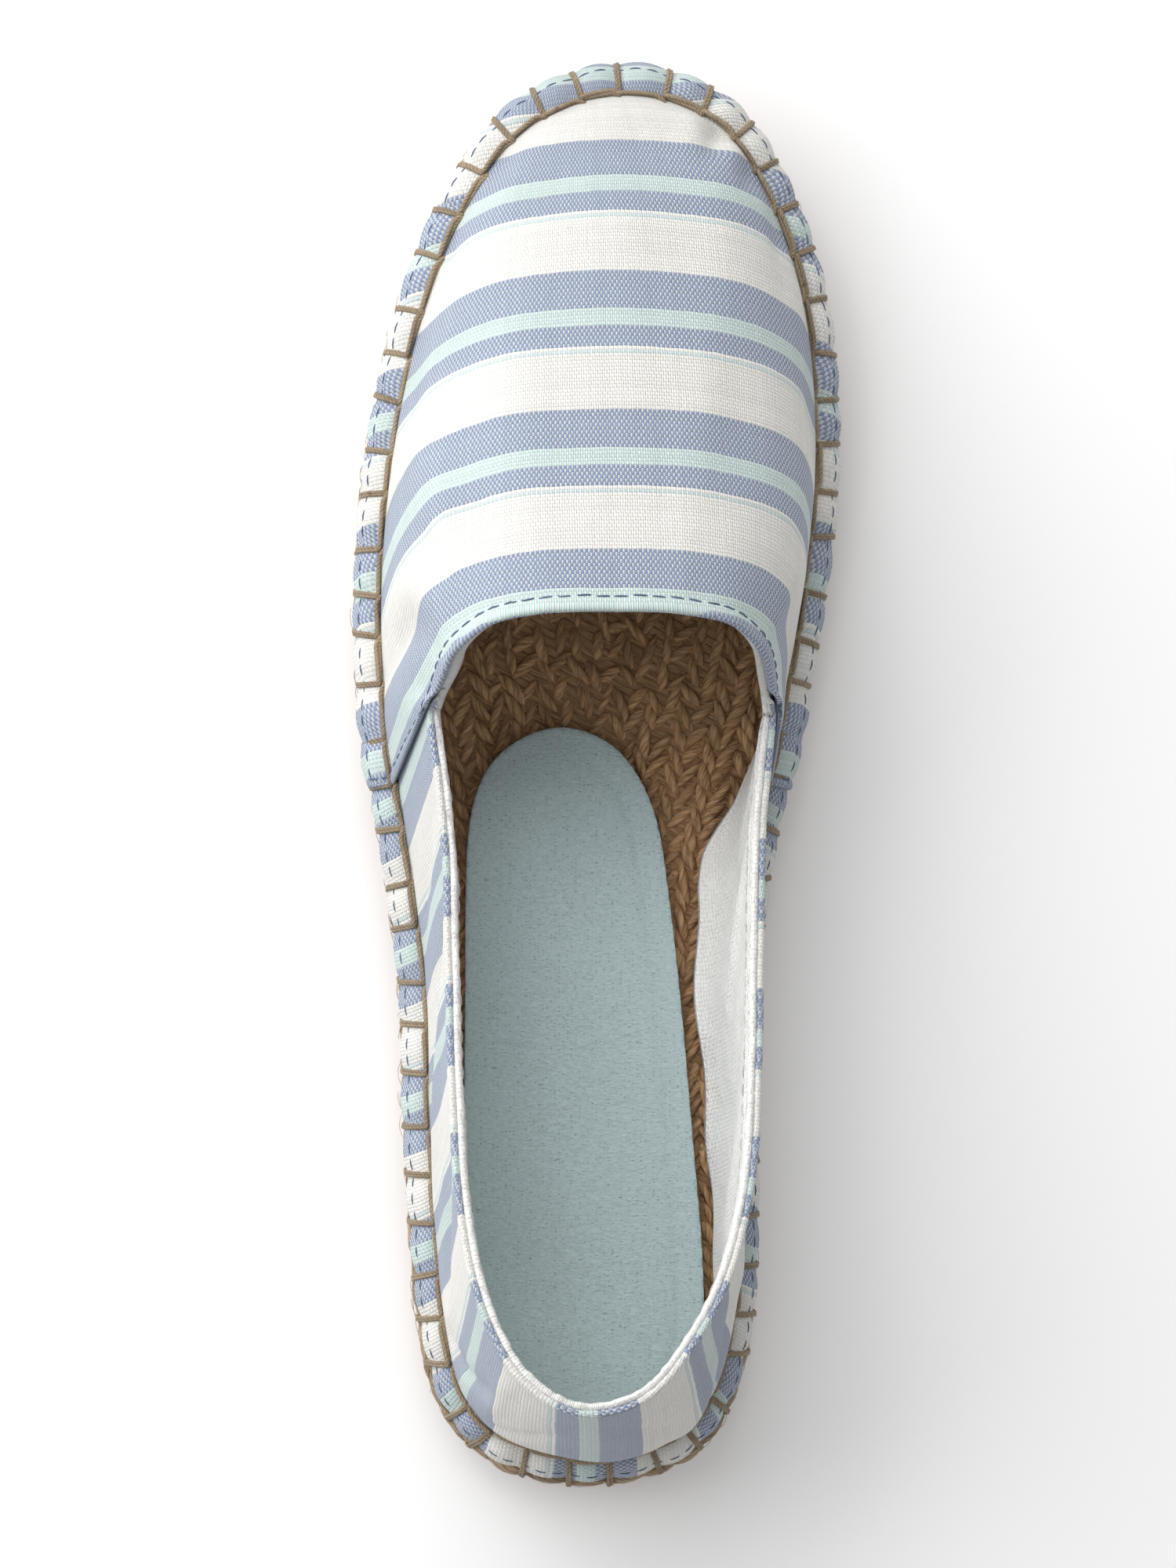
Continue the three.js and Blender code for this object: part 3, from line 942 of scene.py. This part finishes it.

# %% [markdown]
# ## The upper's cloth
#
# Vamp and quarter are two pieces of canvas on the same wall. Both end below in a hem that lies
# on the sole. Cloth is never quite smooth, so a table of soft dents and ridges moves both layers
# together along the wall's normal.

# %% Dents and the skin function
# u, v, reach along u, reach along v, depth in mm (negative is a ridge), and how far the
# dent leans: its shift in u from the foot of the wall to the top
DENTS = np.array([
    [1.6, 0.12, 0.35, 0.10, 0.6, 0], [2.6, 0.10, 0.30, 0.12, 0.8, 0],
    [3.4, 0.16, 0.35, 0.14, 0.7, 1], [-0.75, 0.15, 0.16, 0.09, -0.5, 0],
    [-1.1, 0.14, 0.15, 0.10, 1.0, 1], [-1.4, 0.13, 0.14, 0.08, -0.6, 1],
    [-1.7, 0.13, 0.15, 0.09, 0.9, 1], [-2.3, 0.12, 0.22, 0.10, 0.8, 0],
    [-2.8, 0.14, 0.2, 0.10, -0.5, 0], [-3.6, 0.2, 0.3, 0.16, 0.9, 1],
    [-0.2, 0.3, 0.5, 0.08, 0.4, 0], [1.1, 0.36, 0.5, 0.09, 0.4, 0],
    [4.9, 0.45, 0.2, 0.3, 1.3, -1], [4.45, 0.5, 0.18, 0.3, -0.8, -1],
    [5.35, 0.35, 0.16, 0.3, -0.6, 0], [3.9, 0.62, 0.2, 0.2, 1.0, -1],
    [3.5, 0.5, 0.2, 0.22, -0.5, -1], [-4.8, 0.5, 0.2, 0.35, 1.0, 1],
    [-4.3, 0.55, 0.2, 0.3, -0.6, 1], [2.9, 0.75, 0.5, 0.16, 0.6, 0],
    [-2.2, 0.7, 0.6, 0.14, 0.6, 0], [0.6, 0.55, 1.0, 0.10, -0.5, 0],
    [0.2, 0.8, 1.2, 0.08, 0.4, 0], [7.1, 0.5, 0.2, 0.4, 0.9, -1],
    [8.2, 0.55, 0.22, 0.4, 1.3, -2], [8.9, 0.5, 0.25, 0.4, -0.8, -2],
    [10.1, 0.6, 0.25, 0.3, 1.2, -2], [10.9, 0.3, 0.2, 0.2, -0.7, 0],
    [11.6, 0.4, 0.22, 0.3, 1.2, 2], [12.3, 0.7, 0.22, 0.25, -0.8, 0],
    [13.0, 0.45, 0.2, 0.25, 1.1, 2], [14.3, 0.3, 0.6, 0.15, -1.0, 0],
    [14.9, 0.62, 0.28, 0.2, 1.1, -2], [15.8, 0.4, 0.22, 0.3, -0.8, 2],
    [16.6, 0.5, 0.25, 0.35, 1.3, 2], [17.4, 0.7, 0.22, 0.2, -0.6, 0],
    [18.0, 0.5, 0.25, 0.4, 1.2, 2], [19.1, 0.5, 0.25, 0.4, -0.8, 2],
    [20.2, 0.55, 0.22, 0.4, 1.2, 2], [21.2, 0.5, 0.2, 0.4, 0.8, 1],
])


def dents(u, v):
    """Sum of soft humps: each fades as the bell curve of its distance in u and v."""
    m = (u + CORNER) % TURN - CORNER
    total = np.zeros(np.broadcast(u, v).shape)
    for at_u, at_v, reach_u, reach_v, depth, slant in DENTS:
        middle = (at_u + CORNER) % TURN - CORNER + slant * (v - at_v)
        total -= depth * bell(m - middle, reach_u) * bell(v - at_v, reach_v)
    return total * smooth(v, 0.0, 0.08) * (1 - 0.6 * smooth(v, 0.85, 1.0))


HEEL_TUCK = 1.3


def hem_skin(u, w):
    """The hem's top: from the feather line (w = 0) out and down to its edge (w = 1), puffed
    between stitches and pinched at them. The edge rolls over in its last quarter."""
    puff = between_stitches(u)
    wide = hem_width(u) + HEM_PROUD - 0.45 + 0.75 * puff - HEEL_TUCK * at_heel(u)
    inset = hem_width(u) - w * wide
    roll = 1.1 * smooth(w, 0.72, 1.0)
    height = FEATHER - (HEM_DROP - 1.1) * w - roll + np.sin(np.pi * w) * (0.15 + 0.7 * puff)
    return ring(u, inset, height - 0.25 * (1 - puff) * (1 - w))


def skin(u, s):
    """The cloth's outer face: the hem for s below 0, the wall for s from 0 to 1."""
    v = np.clip(s, 0, 1)
    w = np.clip(-s, 0, 1)
    base = wall(u, v)
    normal = grid_normals(base)
    base = base + normal * dents(u, v)[..., None]
    return np.where((s < 0)[..., None], hem_skin(u, w), base)


def over_quarter(u):
    """1 where the vamp's lap lies on the quarter, 0 in front of it."""
    return smooth(CORNER - from_toe(u), 0.75, 0.4)


HEM_ROWS = -np.array([1.0, 0.96, 0.9, 0.82, 0.72, 0.6, 0.45, 0.3, 0.15])
WALL_ROWS = np.concatenate([np.linspace(0, 0.955, 64), np.linspace(0.964, 1.0, 10)])
QUARTER_ROWS = np.concatenate([np.linspace(0, 0.9, 26), np.linspace(0.92, 1.0, 10)])
HEM_CLOTH = 1.25
CANVAS_THICK = 0.85
LAP_STEP = 0.95
SEAM = 2.3

# %% [markdown]
# ## Vamp
#
# The front piece lies over the quarter at both corners. Its throat edge and the two lap edges
# are folded under and sewn 2.3 mm in. Its stripes run across the foot: the cloth's v is the
# distance from the throat measured down the slope of the ridge.

# %% Build the vamp
BAND = 2.9
FOLD = 0.42
RIDGE_SLOPE = np.radians(23.8)
THROAT_Y = LENGTH / 2 - 0.614 * LENGTH


def vamp_cloth(u, s, p):
    """Cloth coordinates. v: the point's distance along the ridge from the throat, eased near
    the laps so that the lap edge stays on one band, held at the throat's fold, stretched down
    the steep toe and slipped along the outer hem. u: the angle round the section times a
    radius that shrinks towards the toe."""
    down = -(p[..., 1] - THROAT_Y) * np.cos(RIDGE_SLOPE)
    down = down - (p[..., 2] - INSTEP_HEIGHT) * np.sin(RIDGE_SLOPE)
    v = np.clip(s, 0, 1)
    ease = smooth(np.abs(u), 3.2, 6.0)
    down = down + ease * (5.2 + (2.9 - 5.2) * v)
    floor = 0.5 - 5 * smooth(u, 4.3, 5.3) - 5 * smooth(-u, 2.2, 3.6)
    below = np.minimum(down - 0.5 - floor, 0)
    down = np.maximum(down - 0.5, floor) + 0.3 * below
    toe = 2.6 * smooth(s, 0.14, 0.0) * smooth(np.abs(u), 1.4, 0.5)
    slip = smooth(-s, 0.0, 0.1) * smooth(u, -1.3, -0.4) * smooth(u, 4.6, 3.2)
    slip = slip * (3.4 + 1.3 * smooth(u, 0.3, 1.3))
    down = down + np.maximum(toe, slip)
    radius = np.interp(down, [0, 88], [57, 26])
    side = np.arctan2(p[..., 0] - 1.5, p[..., 2] - FEATHER - lift(p[..., 1]) + 14)
    return np.stack([side * radius, down], axis=-1)


def vamp():
    """Outer face: the skin, raised over the quarter at the laps and thicker in its hems."""
    ends = CORNER - np.array([0, 0.01, 0.025, 0.05, 0.08, 0.12, 0.16, 0.2])
    columns = np.concatenate([-ends, np.linspace(-5.75, 5.75, 226), ends[::-1]])
    rows = np.concatenate([HEM_ROWS, WALL_ROWS])
    u, s, base, normal, from_throat = sheet(skin, rows, columns)
    spacing = np.linalg.norm(np.gradient(base, axis=1), axis=-1) / np.gradient(u, axis=1)
    from_lap = (CORNER - np.abs(u)) * spacing
    to_edge = np.minimum(from_throat, from_lap)
    over = over_quarter(u)
    band = FOLD * (1 - smooth(to_edge, BAND - 0.9, BAND))
    groove = bell(to_edge - SEAM, 0.45)
    rounding = np.sqrt(np.clip(1 - (1 - np.clip(from_lap / 0.8, 0, 1))**2, 0.04, 1))
    out = LAP_STEP * over + band * np.where(s < 0, 0.4, 1) - 0.22 * groove
    thick = np.where(s < 0, HEM_CLOTH, CANVAS_THICK) + band * (1 - over)
    middle = base + normal * (out - thick / 2)[..., None]
    half = normal * (thick / 2 * rounding)[..., None]
    return cloth("vamp", middle + half, middle - half, vamp_cloth(u, s, base))


place(vamp(), "canvas", CANVAS, "upper")

# %% [markdown]
# ## Quarter
#
# The back piece goes round the heel from corner to corner. It was cut straight and wrapped, so
# its stripes lean back towards the heel on both sides and stand upright behind. The top line
# is folded over the lining and sewn.

# %% Build the quarter
TOP_U, TOP_ARC = arc_table(opening, CORNER, TURN - CORNER)
FOOT_U, FOOT_ARC = arc_table(lambda u: ring(u, hem_width(u), FEATHER), 5.0, 23.0)
HEEL_ARC = float(np.interp(HEEL, TOP_U, TOP_ARC))
HEEL_FOOT = float(np.interp(HEEL, FOOT_U, FOOT_ARC))
STRIPE_SHIFT = 0.7
LEAN = 0.42


def quarter_cloth(u, s, up):
    """Cloth coordinates. v: along the top line above, along the feather line below, both
    measured from the heel; u: the distance up the wall."""
    v = np.clip(s, 0, 1)
    top = np.interp(u, TOP_U, TOP_ARC)
    top = top + (np.minimum(u - CORNER, 0) + np.maximum(u - TURN + CORNER, 0)) * 14
    foot = HEEL_ARC + np.interp(u, FOOT_U, FOOT_ARC) - HEEL_FOOT
    across = foot + (top - foot) * v**1.3 + STRIPE_SHIFT
    side = np.clip((u - HEEL) / 1.5, -1, 1)
    across = across + side * LEAN * np.clip(-s, 0, 1) * HEM
    return np.stack([up, across], axis=-1)


def quarter():
    """Outer face: the skin, with a slightly thicker folded band along the top line."""
    rows = np.concatenate([HEM_ROWS, QUARTER_ROWS])
    u, s, base, normal, from_top = sheet(skin, rows, np.linspace(5.3, 22.7, 256))
    from_heel = np.abs(u - HEEL)
    band = 1 - smooth(from_top, 1.7, 2.5)
    out = 0.34 * band * smooth(from_heel, 8.1, 7.8) - 0.2 * bell(from_top - 2.0, 0.4)
    out = out - 0.9 * smooth(from_heel, 8.3, 8.55)
    thick = np.where(s < 0, HEM_CLOTH, CANVAS_THICK) + 0.4 * band
    outer = base + normal * out[..., None]
    inner = outer - normal * thick[..., None]
    up = from_top[len(HEM_ROWS)] - from_top
    return cloth("quarter", outer, inner, quarter_cloth(u, s, up))


place(quarter(), "canvas", CANVAS)

# %% [markdown]
# ## Linings
#
# A white brushed lining backs the quarter. Its top shows as a soft white rim inside the fold,
# and its lower edge is cut free and lies on the footbed, widest on the inner side. The vamp
# has a thinner white backing that peeps out under the throat.

# %% Build the linings
# distance from the heel, and how far the free edge reaches over the footbed on each side
FLARE = np.array([
    # along  outer inner
    [0.0, 0.8, 0.8], [20.0, 0.8, 1.0], [40.0, 0.9, 2.2], [60.0, 1.0, 3.4], [85.0, 1.0, 5.4],
    [97.0, 1.0, 6.6], [105.0, 1.0, 6.9], [111.0, 1.0, 6.3], [116.0, 0.9, 5.0],
    [121.0, 0.9, 3.3], [126.0, 0.8, 1.9], [132.0, 0.8, 1.0], [150.0, 0.8, 0.8],
])


LINING_TURN = 0.42


def quarter_lining():
    """Inner wall down to the foot, then a rounded turn and out over the footbed. The rim is
    rounded and a sewn ridge runs below it."""
    columns = np.linspace(5.5, 22.5, 236)
    rows = np.concatenate([np.linspace(-1, -0.08, 12), QUARTER_ROWS])
    u, s, base, _, from_top = sheet(lambda u, s: wall(u, np.clip(s, 0, 1)), rows, columns)
    normal = grid_normals(base + UP * np.clip(s, -1, 0)[..., None])
    depth = 1.15 + 0.18 * bell(from_top - 2.2, 0.35) - 0.28 * smooth(from_top, 1.6, 0.2)
    outer = base + normal * (dents(u, np.clip(s, 0, 1)) - depth)[..., None]

    along = LENGTH / 2 - base[0, :, 1]
    reach = np.where(columns < HEEL, *(np.interp(along, FLARE[:, 0], FLARE[:, k]) for k in (1, 2)))
    reach = reach + 0.5 * np.sin(columns * 5.1) * smooth(reach, 1.0, 4.0)
    inward = -outward_level(columns) * reach[:, None]
    foot = outer[np.abs(rows).argmin()]
    wave = 0.35 * (1 + np.sin(columns * 7.3 + 1.0)) * smooth(reach, 1.5, 4.0)
    free = foot + inward - UP * (0.75 - wave)[:, None]
    elbow = foot + inward * 0.28 - UP * 0.7
    turn_row = np.abs(rows - LINING_TURN).argmin()
    t = np.clip((rows + 1) / (rows[turn_row] + 1), 0, 1)[:, None, None]
    below = (np.arange(len(rows)) < turn_row)[:, None, None]
    outer = np.where(below, bezier(free, elbow, outer[turn_row], t), outer)

    fuzz = random.uniform(-0.15, 0.15, u.shape) * smooth(from_top, 3.0, 0.5)
    tuck = 0.75 * smooth(np.abs(u - HEEL), 7.85, 8.25)
    thick = 1.15 - 0.5 * smooth(-s, 0.7, 1.0) + fuzz - tuck
    inner = outer - grid_normals(outer) * thick[..., None]
    rim = UP * ((0.2 + fuzz) * smooth(from_top, 1.2, 0.0))[..., None]
    uv = np.stack([arc_at(u), travelled(outer)], axis=-1)
    return cloth("quarter_lining", outer + rim, inner + rim, uv)


def vamp_lining():
    """A thin sheet inside the vamp that ends just below the fold of the throat, and hangs
    a little inwards beside the outer corner."""
    rows = np.concatenate([np.linspace(0.01, 0.93, 40), np.linspace(0.94, 0.992, 8)])
    u, v, base, normal, from_top = sheet(wall, rows, np.linspace(-6.3, 6.3, 156))
    hang = 1.4 * bell(u - 4.7, 0.9) * smooth(v, 0.75, 0.98)
    hang = hang + 0.5 * bell(u + 4.8, 0.8) * smooth(v, 0.8, 0.98)
    close = 0.5 * smooth(v, 0.8, 0.95)
    outer = base + normal * (dents(u, v) - 1.45 + close)[..., None]
    inner = outer - normal * (0.6 + close + hang)[..., None]
    uv = np.stack([arc_at(u), from_top[0] - from_top], axis=-1)
    return cloth("vamp_lining", outer, inner, uv)


place(quarter_lining(), "lining", LINING)
place(vamp_lining(), "lining", LINING)

# %% [markdown]
# ## Sock liner
#
# A thin pad of flocked foam is stuck on the footbed from the heel to the middle of the foot.
# Its edge is cut and softly rounded, and a pressed line follows it a few millimetres in. It is
# a disc stretched along a spine: each ring lies a share of the way from spine to outline.

# %% Build the sock liner
# along outer inner, mm
LINER = np.array([
    [134.0, 6.2, 6.2], [131.6, 14.0, -1.6], [126.0, 19.6, -7.0], [117.0, 22.4, -10.8],
    [103.0, 23.1, -13.0], [85.0, 23.2, -15.0], [60.0, 23.4, -17.2], [40.0, 23.4, -18.8],
    [25.0, 21.8, -18.6], [15.5, 17.2, -14.6], [10.4, 10.2, -7.8], [8.8, 1.3, 1.3],
])
LINER_LOW = 14.3
LINER_THICK = 2.2


def liner_points(rows, column):
    """Plan points of one side of the sock liner."""
    return np.stack([rows[:, column], LENGTH / 2 - rows[:, 0]], axis=1)


def sock_liner():
    """Top height falls to the rounded edge as a quarter circle of the distance to the
    outline, with a line pressed 4.6 mm in and a slight crown."""
    outline = around(LINER, lambda r: liner_points(r, 1), lambda r: liner_points(r, 2))
    count = 300
    w = np.arange(count) * len(outline) / count
    edge = spline(outline, w, True)
    mirror = edge[(-np.arange(count)) % count]
    y = np.clip(edge[:, 1], -2.0, 108.0)
    middle = (edge[:, 0] + mirror[:, 0]) / 2
    nose = np.interp(y, edge[:count // 2 + 1, 1], middle[:count // 2 + 1])
    spine = np.stack([nose, y], axis=1)
    share = 1 - (1 - np.linspace(0, 1, 34))**1.7
    plan = spine + (edge - spine) * share[:, None, None]
    far = plan[:, :, None, :] - edge[None, None, ::3, :]
    to_edge = np.sqrt((far**2).sum(axis=-1)).min(axis=-1)
    to_edge[-1] = 0
    fall = 1 - np.sqrt(1 - np.clip(1 - to_edge, 0, 1)**2)
    crown = 0.25 * smooth(to_edge, 0, 16)
    line = 0.5 * bell(to_edge - 4.6, 0.9) * smooth(-plan[..., 0], -4, 6)
    wave = 0.12 * np.sin(plan[..., 0] * 0.21 + 1.0) * np.sin(plan[..., 1] * 0.11)
    z = LINER_LOW + LINER_THICK - 0.25 - fall + crown - line + wave * smooth(to_edge, 0, 6)
    below = np.stack([edge + (spine - edge) * 0.012, spine])
    loop = np.concatenate([at_height(plan, z), at_height(below, LINER_LOW)])
    quads = grid_faces(*loop.shape[:2], wrap_columns=True)[:, ::-1]
    made = make_mesh("sock_liner", loop, [quads], loop[..., :2])
    bm = bmesh.new()
    bm.from_mesh(made.data)
    bmesh.ops.remove_doubles(bm, verts=bm.verts, dist=0.00002)
    bmesh.ops.recalc_face_normals(bm, faces=bm.faces)
    bm.to_mesh(made.data)
    bm.free()
    return made


liner = place(sock_liner(), "sock", SOCK, "insole")

# %% [markdown]
# ## Stitches
#
# The blanket stitch is a waxed two-ply thread. Each stitch is one chain along the feather line
# and one leg over the hem and down into the groove between the two courses of braid. The
# canvas edges are sewn with a fine slate thread: short stitches with small gaps.


# %% Blanket stitch
def two_strands(paths, ref, gap, roll):
    """Two strands side by side on each path, a gap apart: the path moved half the gap each
    way, in a direction that rolls round it by an angle at each point."""
    _, side, up = frame_along(paths, ref)
    push = np.cos(roll)[..., None] * side + np.sin(roll)[..., None] * up
    push = push * (gap / 2)[..., None]
    return np.concatenate([paths + push, paths - push])


def over_lap(u):
    """How much the thread is raised where it crosses the end of the vamp's lap."""
    return 0.8 * bell(from_toe(u) - 5.8, 0.35)[..., None]


def blanket_stitch():
    """Chains and legs as tubes. A chain goes from one stitch's loop to the next along the
    feather line; a leg goes out over the hem's edge and down the side of the sole."""
    start = STITCH_ARC[:, None]
    end = np.roll(start, -1)
    end[-1] += PERIMETER
    t = np.linspace(0, 1, 11)
    u = edge_at(start + (end - start) * (t * 1.03 - 0.02))
    bow = np.sin(np.pi * t)
    inset = hem_width(u) - 0.4 + 0.85 * bell(t, 0.12) + 0.12 * bow
    inset = inset + jitter(-0.4, 0.4, STITCHES)
    chain = ring(u, inset, FEATHER + 0.55 + 0.3 * bell(t, 0.1) + 0.1 * bow)
    chain = chain + over_lap(u) * (outward_level(u) + 0.625 * UP)

    # on the hem: share of the way out, upward part of the facing, height above the cloth
    hem = np.array([[0.0, 0.95, 0.34], [0.22, 0.9, 0.34], [0.45, 0.85, 0.34],
                    [0.68, 0.7, 0.34], [0.86, 0.5, 0.3], [1.0, 0.2, 0.2]])
    # on the braid: inset and height
    braid = np.array([[-0.2, 11.4], [-0.26, 10.0], [-0.15, 8.6], [0.25, 7.3]])
    on_hem = len(hem)
    steps = on_hem + len(braid)
    leg_u = edge_at(start + np.linspace(0, 1, steps) * jitter(-1.6, 1.6, STITCHES))
    facing = outward_level(leg_u)
    facing[:, :on_hem, 2] = hem[:, 1] / np.sqrt(1 - hem[:, 1]**2)
    facing = unit(facing)
    top = hem_skin(leg_u[:, :on_hem], hem[:, 0]) + facing[:, :on_hem] * hem[:, 2:]
    side = ring(leg_u[:, on_hem:], braid[:, 0], braid[:, 1])
    legs = np.concatenate([top, side], axis=1)
    legs = legs + facing * over_lap(leg_u) * np.linspace(1, 0, steps)[:, None]

    roll = jitter(-0.7, 0.7, STITCHES) + 1.3 * t
    gap = 0.62 - 0.3 * bell(t, 0.12) - 0.3 * bell(1 - t, 0.12)
    chain = two_strands(chain, UP, gap, roll)
    roll = jitter(-0.35, 0.35, STITCHES)
    gap = jitter(0.40, 0.62, STITCHES) * np.linspace(0.7, 1.0, steps)
    legs = two_strands(legs, facing, gap, roll)
    look = {"sides": 6, "spread": (0.3, 1.0)}
    one = tubes("blanket_chain", chain, 0.40, 0.36, UP, **look)
    two = tubes("blanket_legs", legs, 0.34, 0.32, np.tile(facing, (2, 1, 1)), **look)
    return one, two


for thread in blanket_stitch():
    place(thread, "thread", THREAD)


# %% Running stitches
def sew(name, line, normal, pitch=3.2, stitch=2.2, radius=0.15, thread=SEWING):
    """Short stitches along a line given as points and the cloth's normals there: each is a
    shallow bow that sinks into the cloth at both ends."""
    length = travelled(line)
    count = int(length[-1] / pitch)
    first = (np.arange(count)[:, None] + 0.2) * length[-1] / count
    t = np.linspace(0, 1, 5)
    at = first + stitch * t + jitter(-0.15, 0.15, count)

    def along(values):
        return np.stack([np.interp(at, length, values[:, k]) for k in range(3)], axis=-1)

    face = unit(along(normal))
    paths = along(line) + face * (0.16 * np.sin(np.pi * t) - 0.14)[:, None]
    place(tubes(name, paths, radius, radius * 0.8, face, sides=6, spread=(0.2, 1.0)),
          "thread", thread)


def line_on_cloth(u, inside, out):
    """A line on the wall a given distance below the opening, and the wall's normals on it."""
    rows = np.concatenate([np.linspace(0, 0.9, 40), np.linspace(0.905, 1.0, 60)])
    _, _, base, normal, from_top = sheet(skin, rows, u)
    pick = np.abs(from_top - inside).argmin(axis=0), np.arange(len(u))
    return base[pick] + normal[pick] * np.broadcast_to(out, u.shape)[:, None], normal[pick]


def lap_line(side):
    """A line down the lap, a fixed distance in from its edge, and the normals on it."""
    columns = side * np.linspace(5.6, 6.0, 80)
    _, _, base, normal, _ = sheet(skin, np.linspace(-0.9, 0.93, 90), columns)
    spacing = np.linalg.norm(np.gradient(base, axis=1), axis=-1)
    edge_gap = spacing[:, ::-1].cumsum(axis=1)[:, ::-1]
    pick = np.arange(len(base)), np.abs(edge_gap - SEAM).argmin(axis=1)
    face = normal[pick] * side
    return base[pick] + face * 1.2, face


def hem_line():
    """A closed line on the hem, three quarters of the way out."""
    u, _, base, normal, _ = sheet(skin, [-0.86, -0.78, -0.70], np.linspace(0, TURN, 1600))
    raised = LAP_STEP * over_quarter(u[1]) * (from_toe(u[1]) < CORNER)
    return base[1] + normal[1] * (raised + 0.06)[:, None], normal[1]


top_u = np.linspace(6.12, 21.88, 900)
sew("topline_stitches", *line_on_cloth(top_u, 2.0, 0.02))
inside, facing_out = line_on_cloth(top_u[20:-20], SEAM, -2.58)
sew("lining_stitches", inside, -facing_out, thread=PALE_SEWING)
throat_u = np.linspace(-5.75, 5.75, 500)
sew("throat_stitches", *line_on_cloth(throat_u, SEAM, 0.3 + LAP_STEP * over_quarter(throat_u)))
sew("lap_stitches_outer", *lap_line(1))
sew("lap_stitches_inner", *lap_line(-1))
sew("hem_stitches", *hem_line(), pitch=3.1, stitch=1.9, radius=0.13)

# %% [markdown]
# ## Loose fibres
#
# Jute is hairy: fine pale fibres stand off the braid round the side and curl on the footbed.

# %% Fibres
HAIR_REF = np.array([0.05, 0.05, 1.0])


def side_fibres(count=650):
    """Thin hairs: each leaves the side of the sole and bends with a random curl."""
    t = np.linspace(0, 1, 6)
    arc = jitter(0, PERIMETER, count)
    reach = jitter(2.5, 9.0, count)
    slope = jitter(-1.2, 1.2, count)
    away = jitter(0.1, 1.0, count)**2 * 1.6
    u = edge_at(arc + reach * np.cos(slope) * t * random.choice([-1, 1], (count, 1)))
    height = jitter(3.4, 10.2, count) + reach * np.sin(slope) * t * 0.7
    height = np.clip(height + jitter(-1, 1, count) * t**2, 1.0, 12.0)
    paths = ring(u, 0.75 - away * np.sin(t * jitter(1.5, 3.1, count)), height)
    return tubes("jute_fibres", paths, 0.05, 0.05, HAIR_REF, sides=3, spread=(0.7, 1.0))


def bed_fibres(count=160):
    """Hairs lying on the open part of the footbed, in front of the sock liner."""
    t = np.linspace(0, 1, 6)
    x = jitter(-30, 34, count)
    y = jitter(-60, 10, count)
    turn = jitter(0, 6.28, count) + t * jitter(-1.6, 1.6, count)
    reach = jitter(3, 9, count) / 6
    plan = np.stack([x + np.cumsum(np.cos(turn), axis=1) * reach,
                     y + np.cumsum(np.sin(turn), axis=1) * reach], axis=-1)
    paths = at_height(plan, 14.0 + jitter(0, 1.6, count) * np.sin(np.pi * t))
    return tubes("footbed_fibres", paths, 0.06, 0.06, HAIR_REF, sides=3, spread=(0.7, 1.0))


place(side_fibres(), "jute", JUTE)
place(bed_fibres(), "jute", JUTE)

# %% [markdown]
# ## Floor, light and camera
#
# The shoe stands on a plain pale floor in soft studio light: a broad key from the outer side
# and in front, a second lamp above the toe and an even surround. The floor glows a little. The
# camera looks almost straight down from a little over a metre, tilted to the outer side.

# %% Stage
FLOOR_GLOW = 0.11
WHITE = rgb(1.0, 1.0, 1.0)


def floor():
    """A round plain floor with a faint mottle, lit a little from below like a photo table."""
    made, tree, shader = material("pale floor", 0.9, Specular_IOR_Level=0.1,
                                  Emission_Color=WHITE, Emission_Strength=FLOOR_GLOW)
    grain = mottle(tree, 3.0, 300.0)
    colour = brightness(tree, rgb(0.93, 0.93, 0.93), (grain["Broad"], 0.99, 1.01))
    feed(tree, shader, {"Base Color": colour})
    bpy.ops.mesh.primitive_circle_add(vertices=96, radius=4.0, fill_type="NGON")
    plane = bpy.context.object
    plane.name = "floor"
    plane.data.materials.append(made)
    return plane


floor()


def aim(thing, place_at, target, up):
    """Puts a camera or lamp at a place, looking at a target, with its top towards up."""
    place_at, target, up = Vector(place_at), Vector(target), Vector(up)
    back = (place_at - target).normalized()
    right = up.cross(back).normalized()
    top = back.cross(right)
    turn = Matrix((right, top, back)).transposed().to_4x4()
    thing.matrix_world = Matrix.Translation(place_at) @ turn


def lamp(name, size, power, place_at):
    """A square area light aimed at the shoe."""
    data = bpy.data.lights.new(name, "AREA")
    data.size = size
    data.energy = power
    made = bpy.data.objects.new(name, data)
    bpy.context.scene.collection.objects.link(made)
    aim(made, place_at, (0, 0, 0.03), (0, 0.3, 1))


# the sky's strength as light, and as the camera sees it behind the floor
SKY = 0.42
SKY_SEEN = 0.52

lamp("key", 1.5, 20.2, (1.15, -0.60, 0.80))
lamp("top", 0.9, 11.0, (0.32, -1.10, 1.18))

world = bpy.data.worlds.new("surround")
world.use_nodes = True
sky = world.node_tree
path = node(sky, "ShaderNodeLightPath").outputs["Is Camera Ray"]
seen = node(sky, "ShaderNodeMapRange", {0: path, 3: SKY, 4: SKY_SEEN}).outputs[0]
feed(sky, sky.nodes["Background"], {"Color": WHITE, "Strength": seen})
bpy.context.scene.world = world
bpy.context.scene.view_settings.view_transform = "Standard"

# %% Camera
DISTANCE = 1.1
TILT = np.radians(3.6)
FRAME_HEIGHT = 0.2805
SENSOR = 36.0
camera_data = bpy.data.cameras.new("camera")
camera_data.lens = SENSOR * DISTANCE / FRAME_HEIGHT
camera = bpy.data.objects.new("camera", camera_data)
bpy.context.scene.collection.objects.link(camera)
target = (0.0005, 0.001, 0.0)
eye = (target[0] + DISTANCE * np.sin(TILT), target[1], DISTANCE * np.cos(TILT))
aim(camera, eye, target, (0, -1, 0))
bpy.context.scene.camera = camera

# %% Update the scene
bpy.context.view_layer.update()
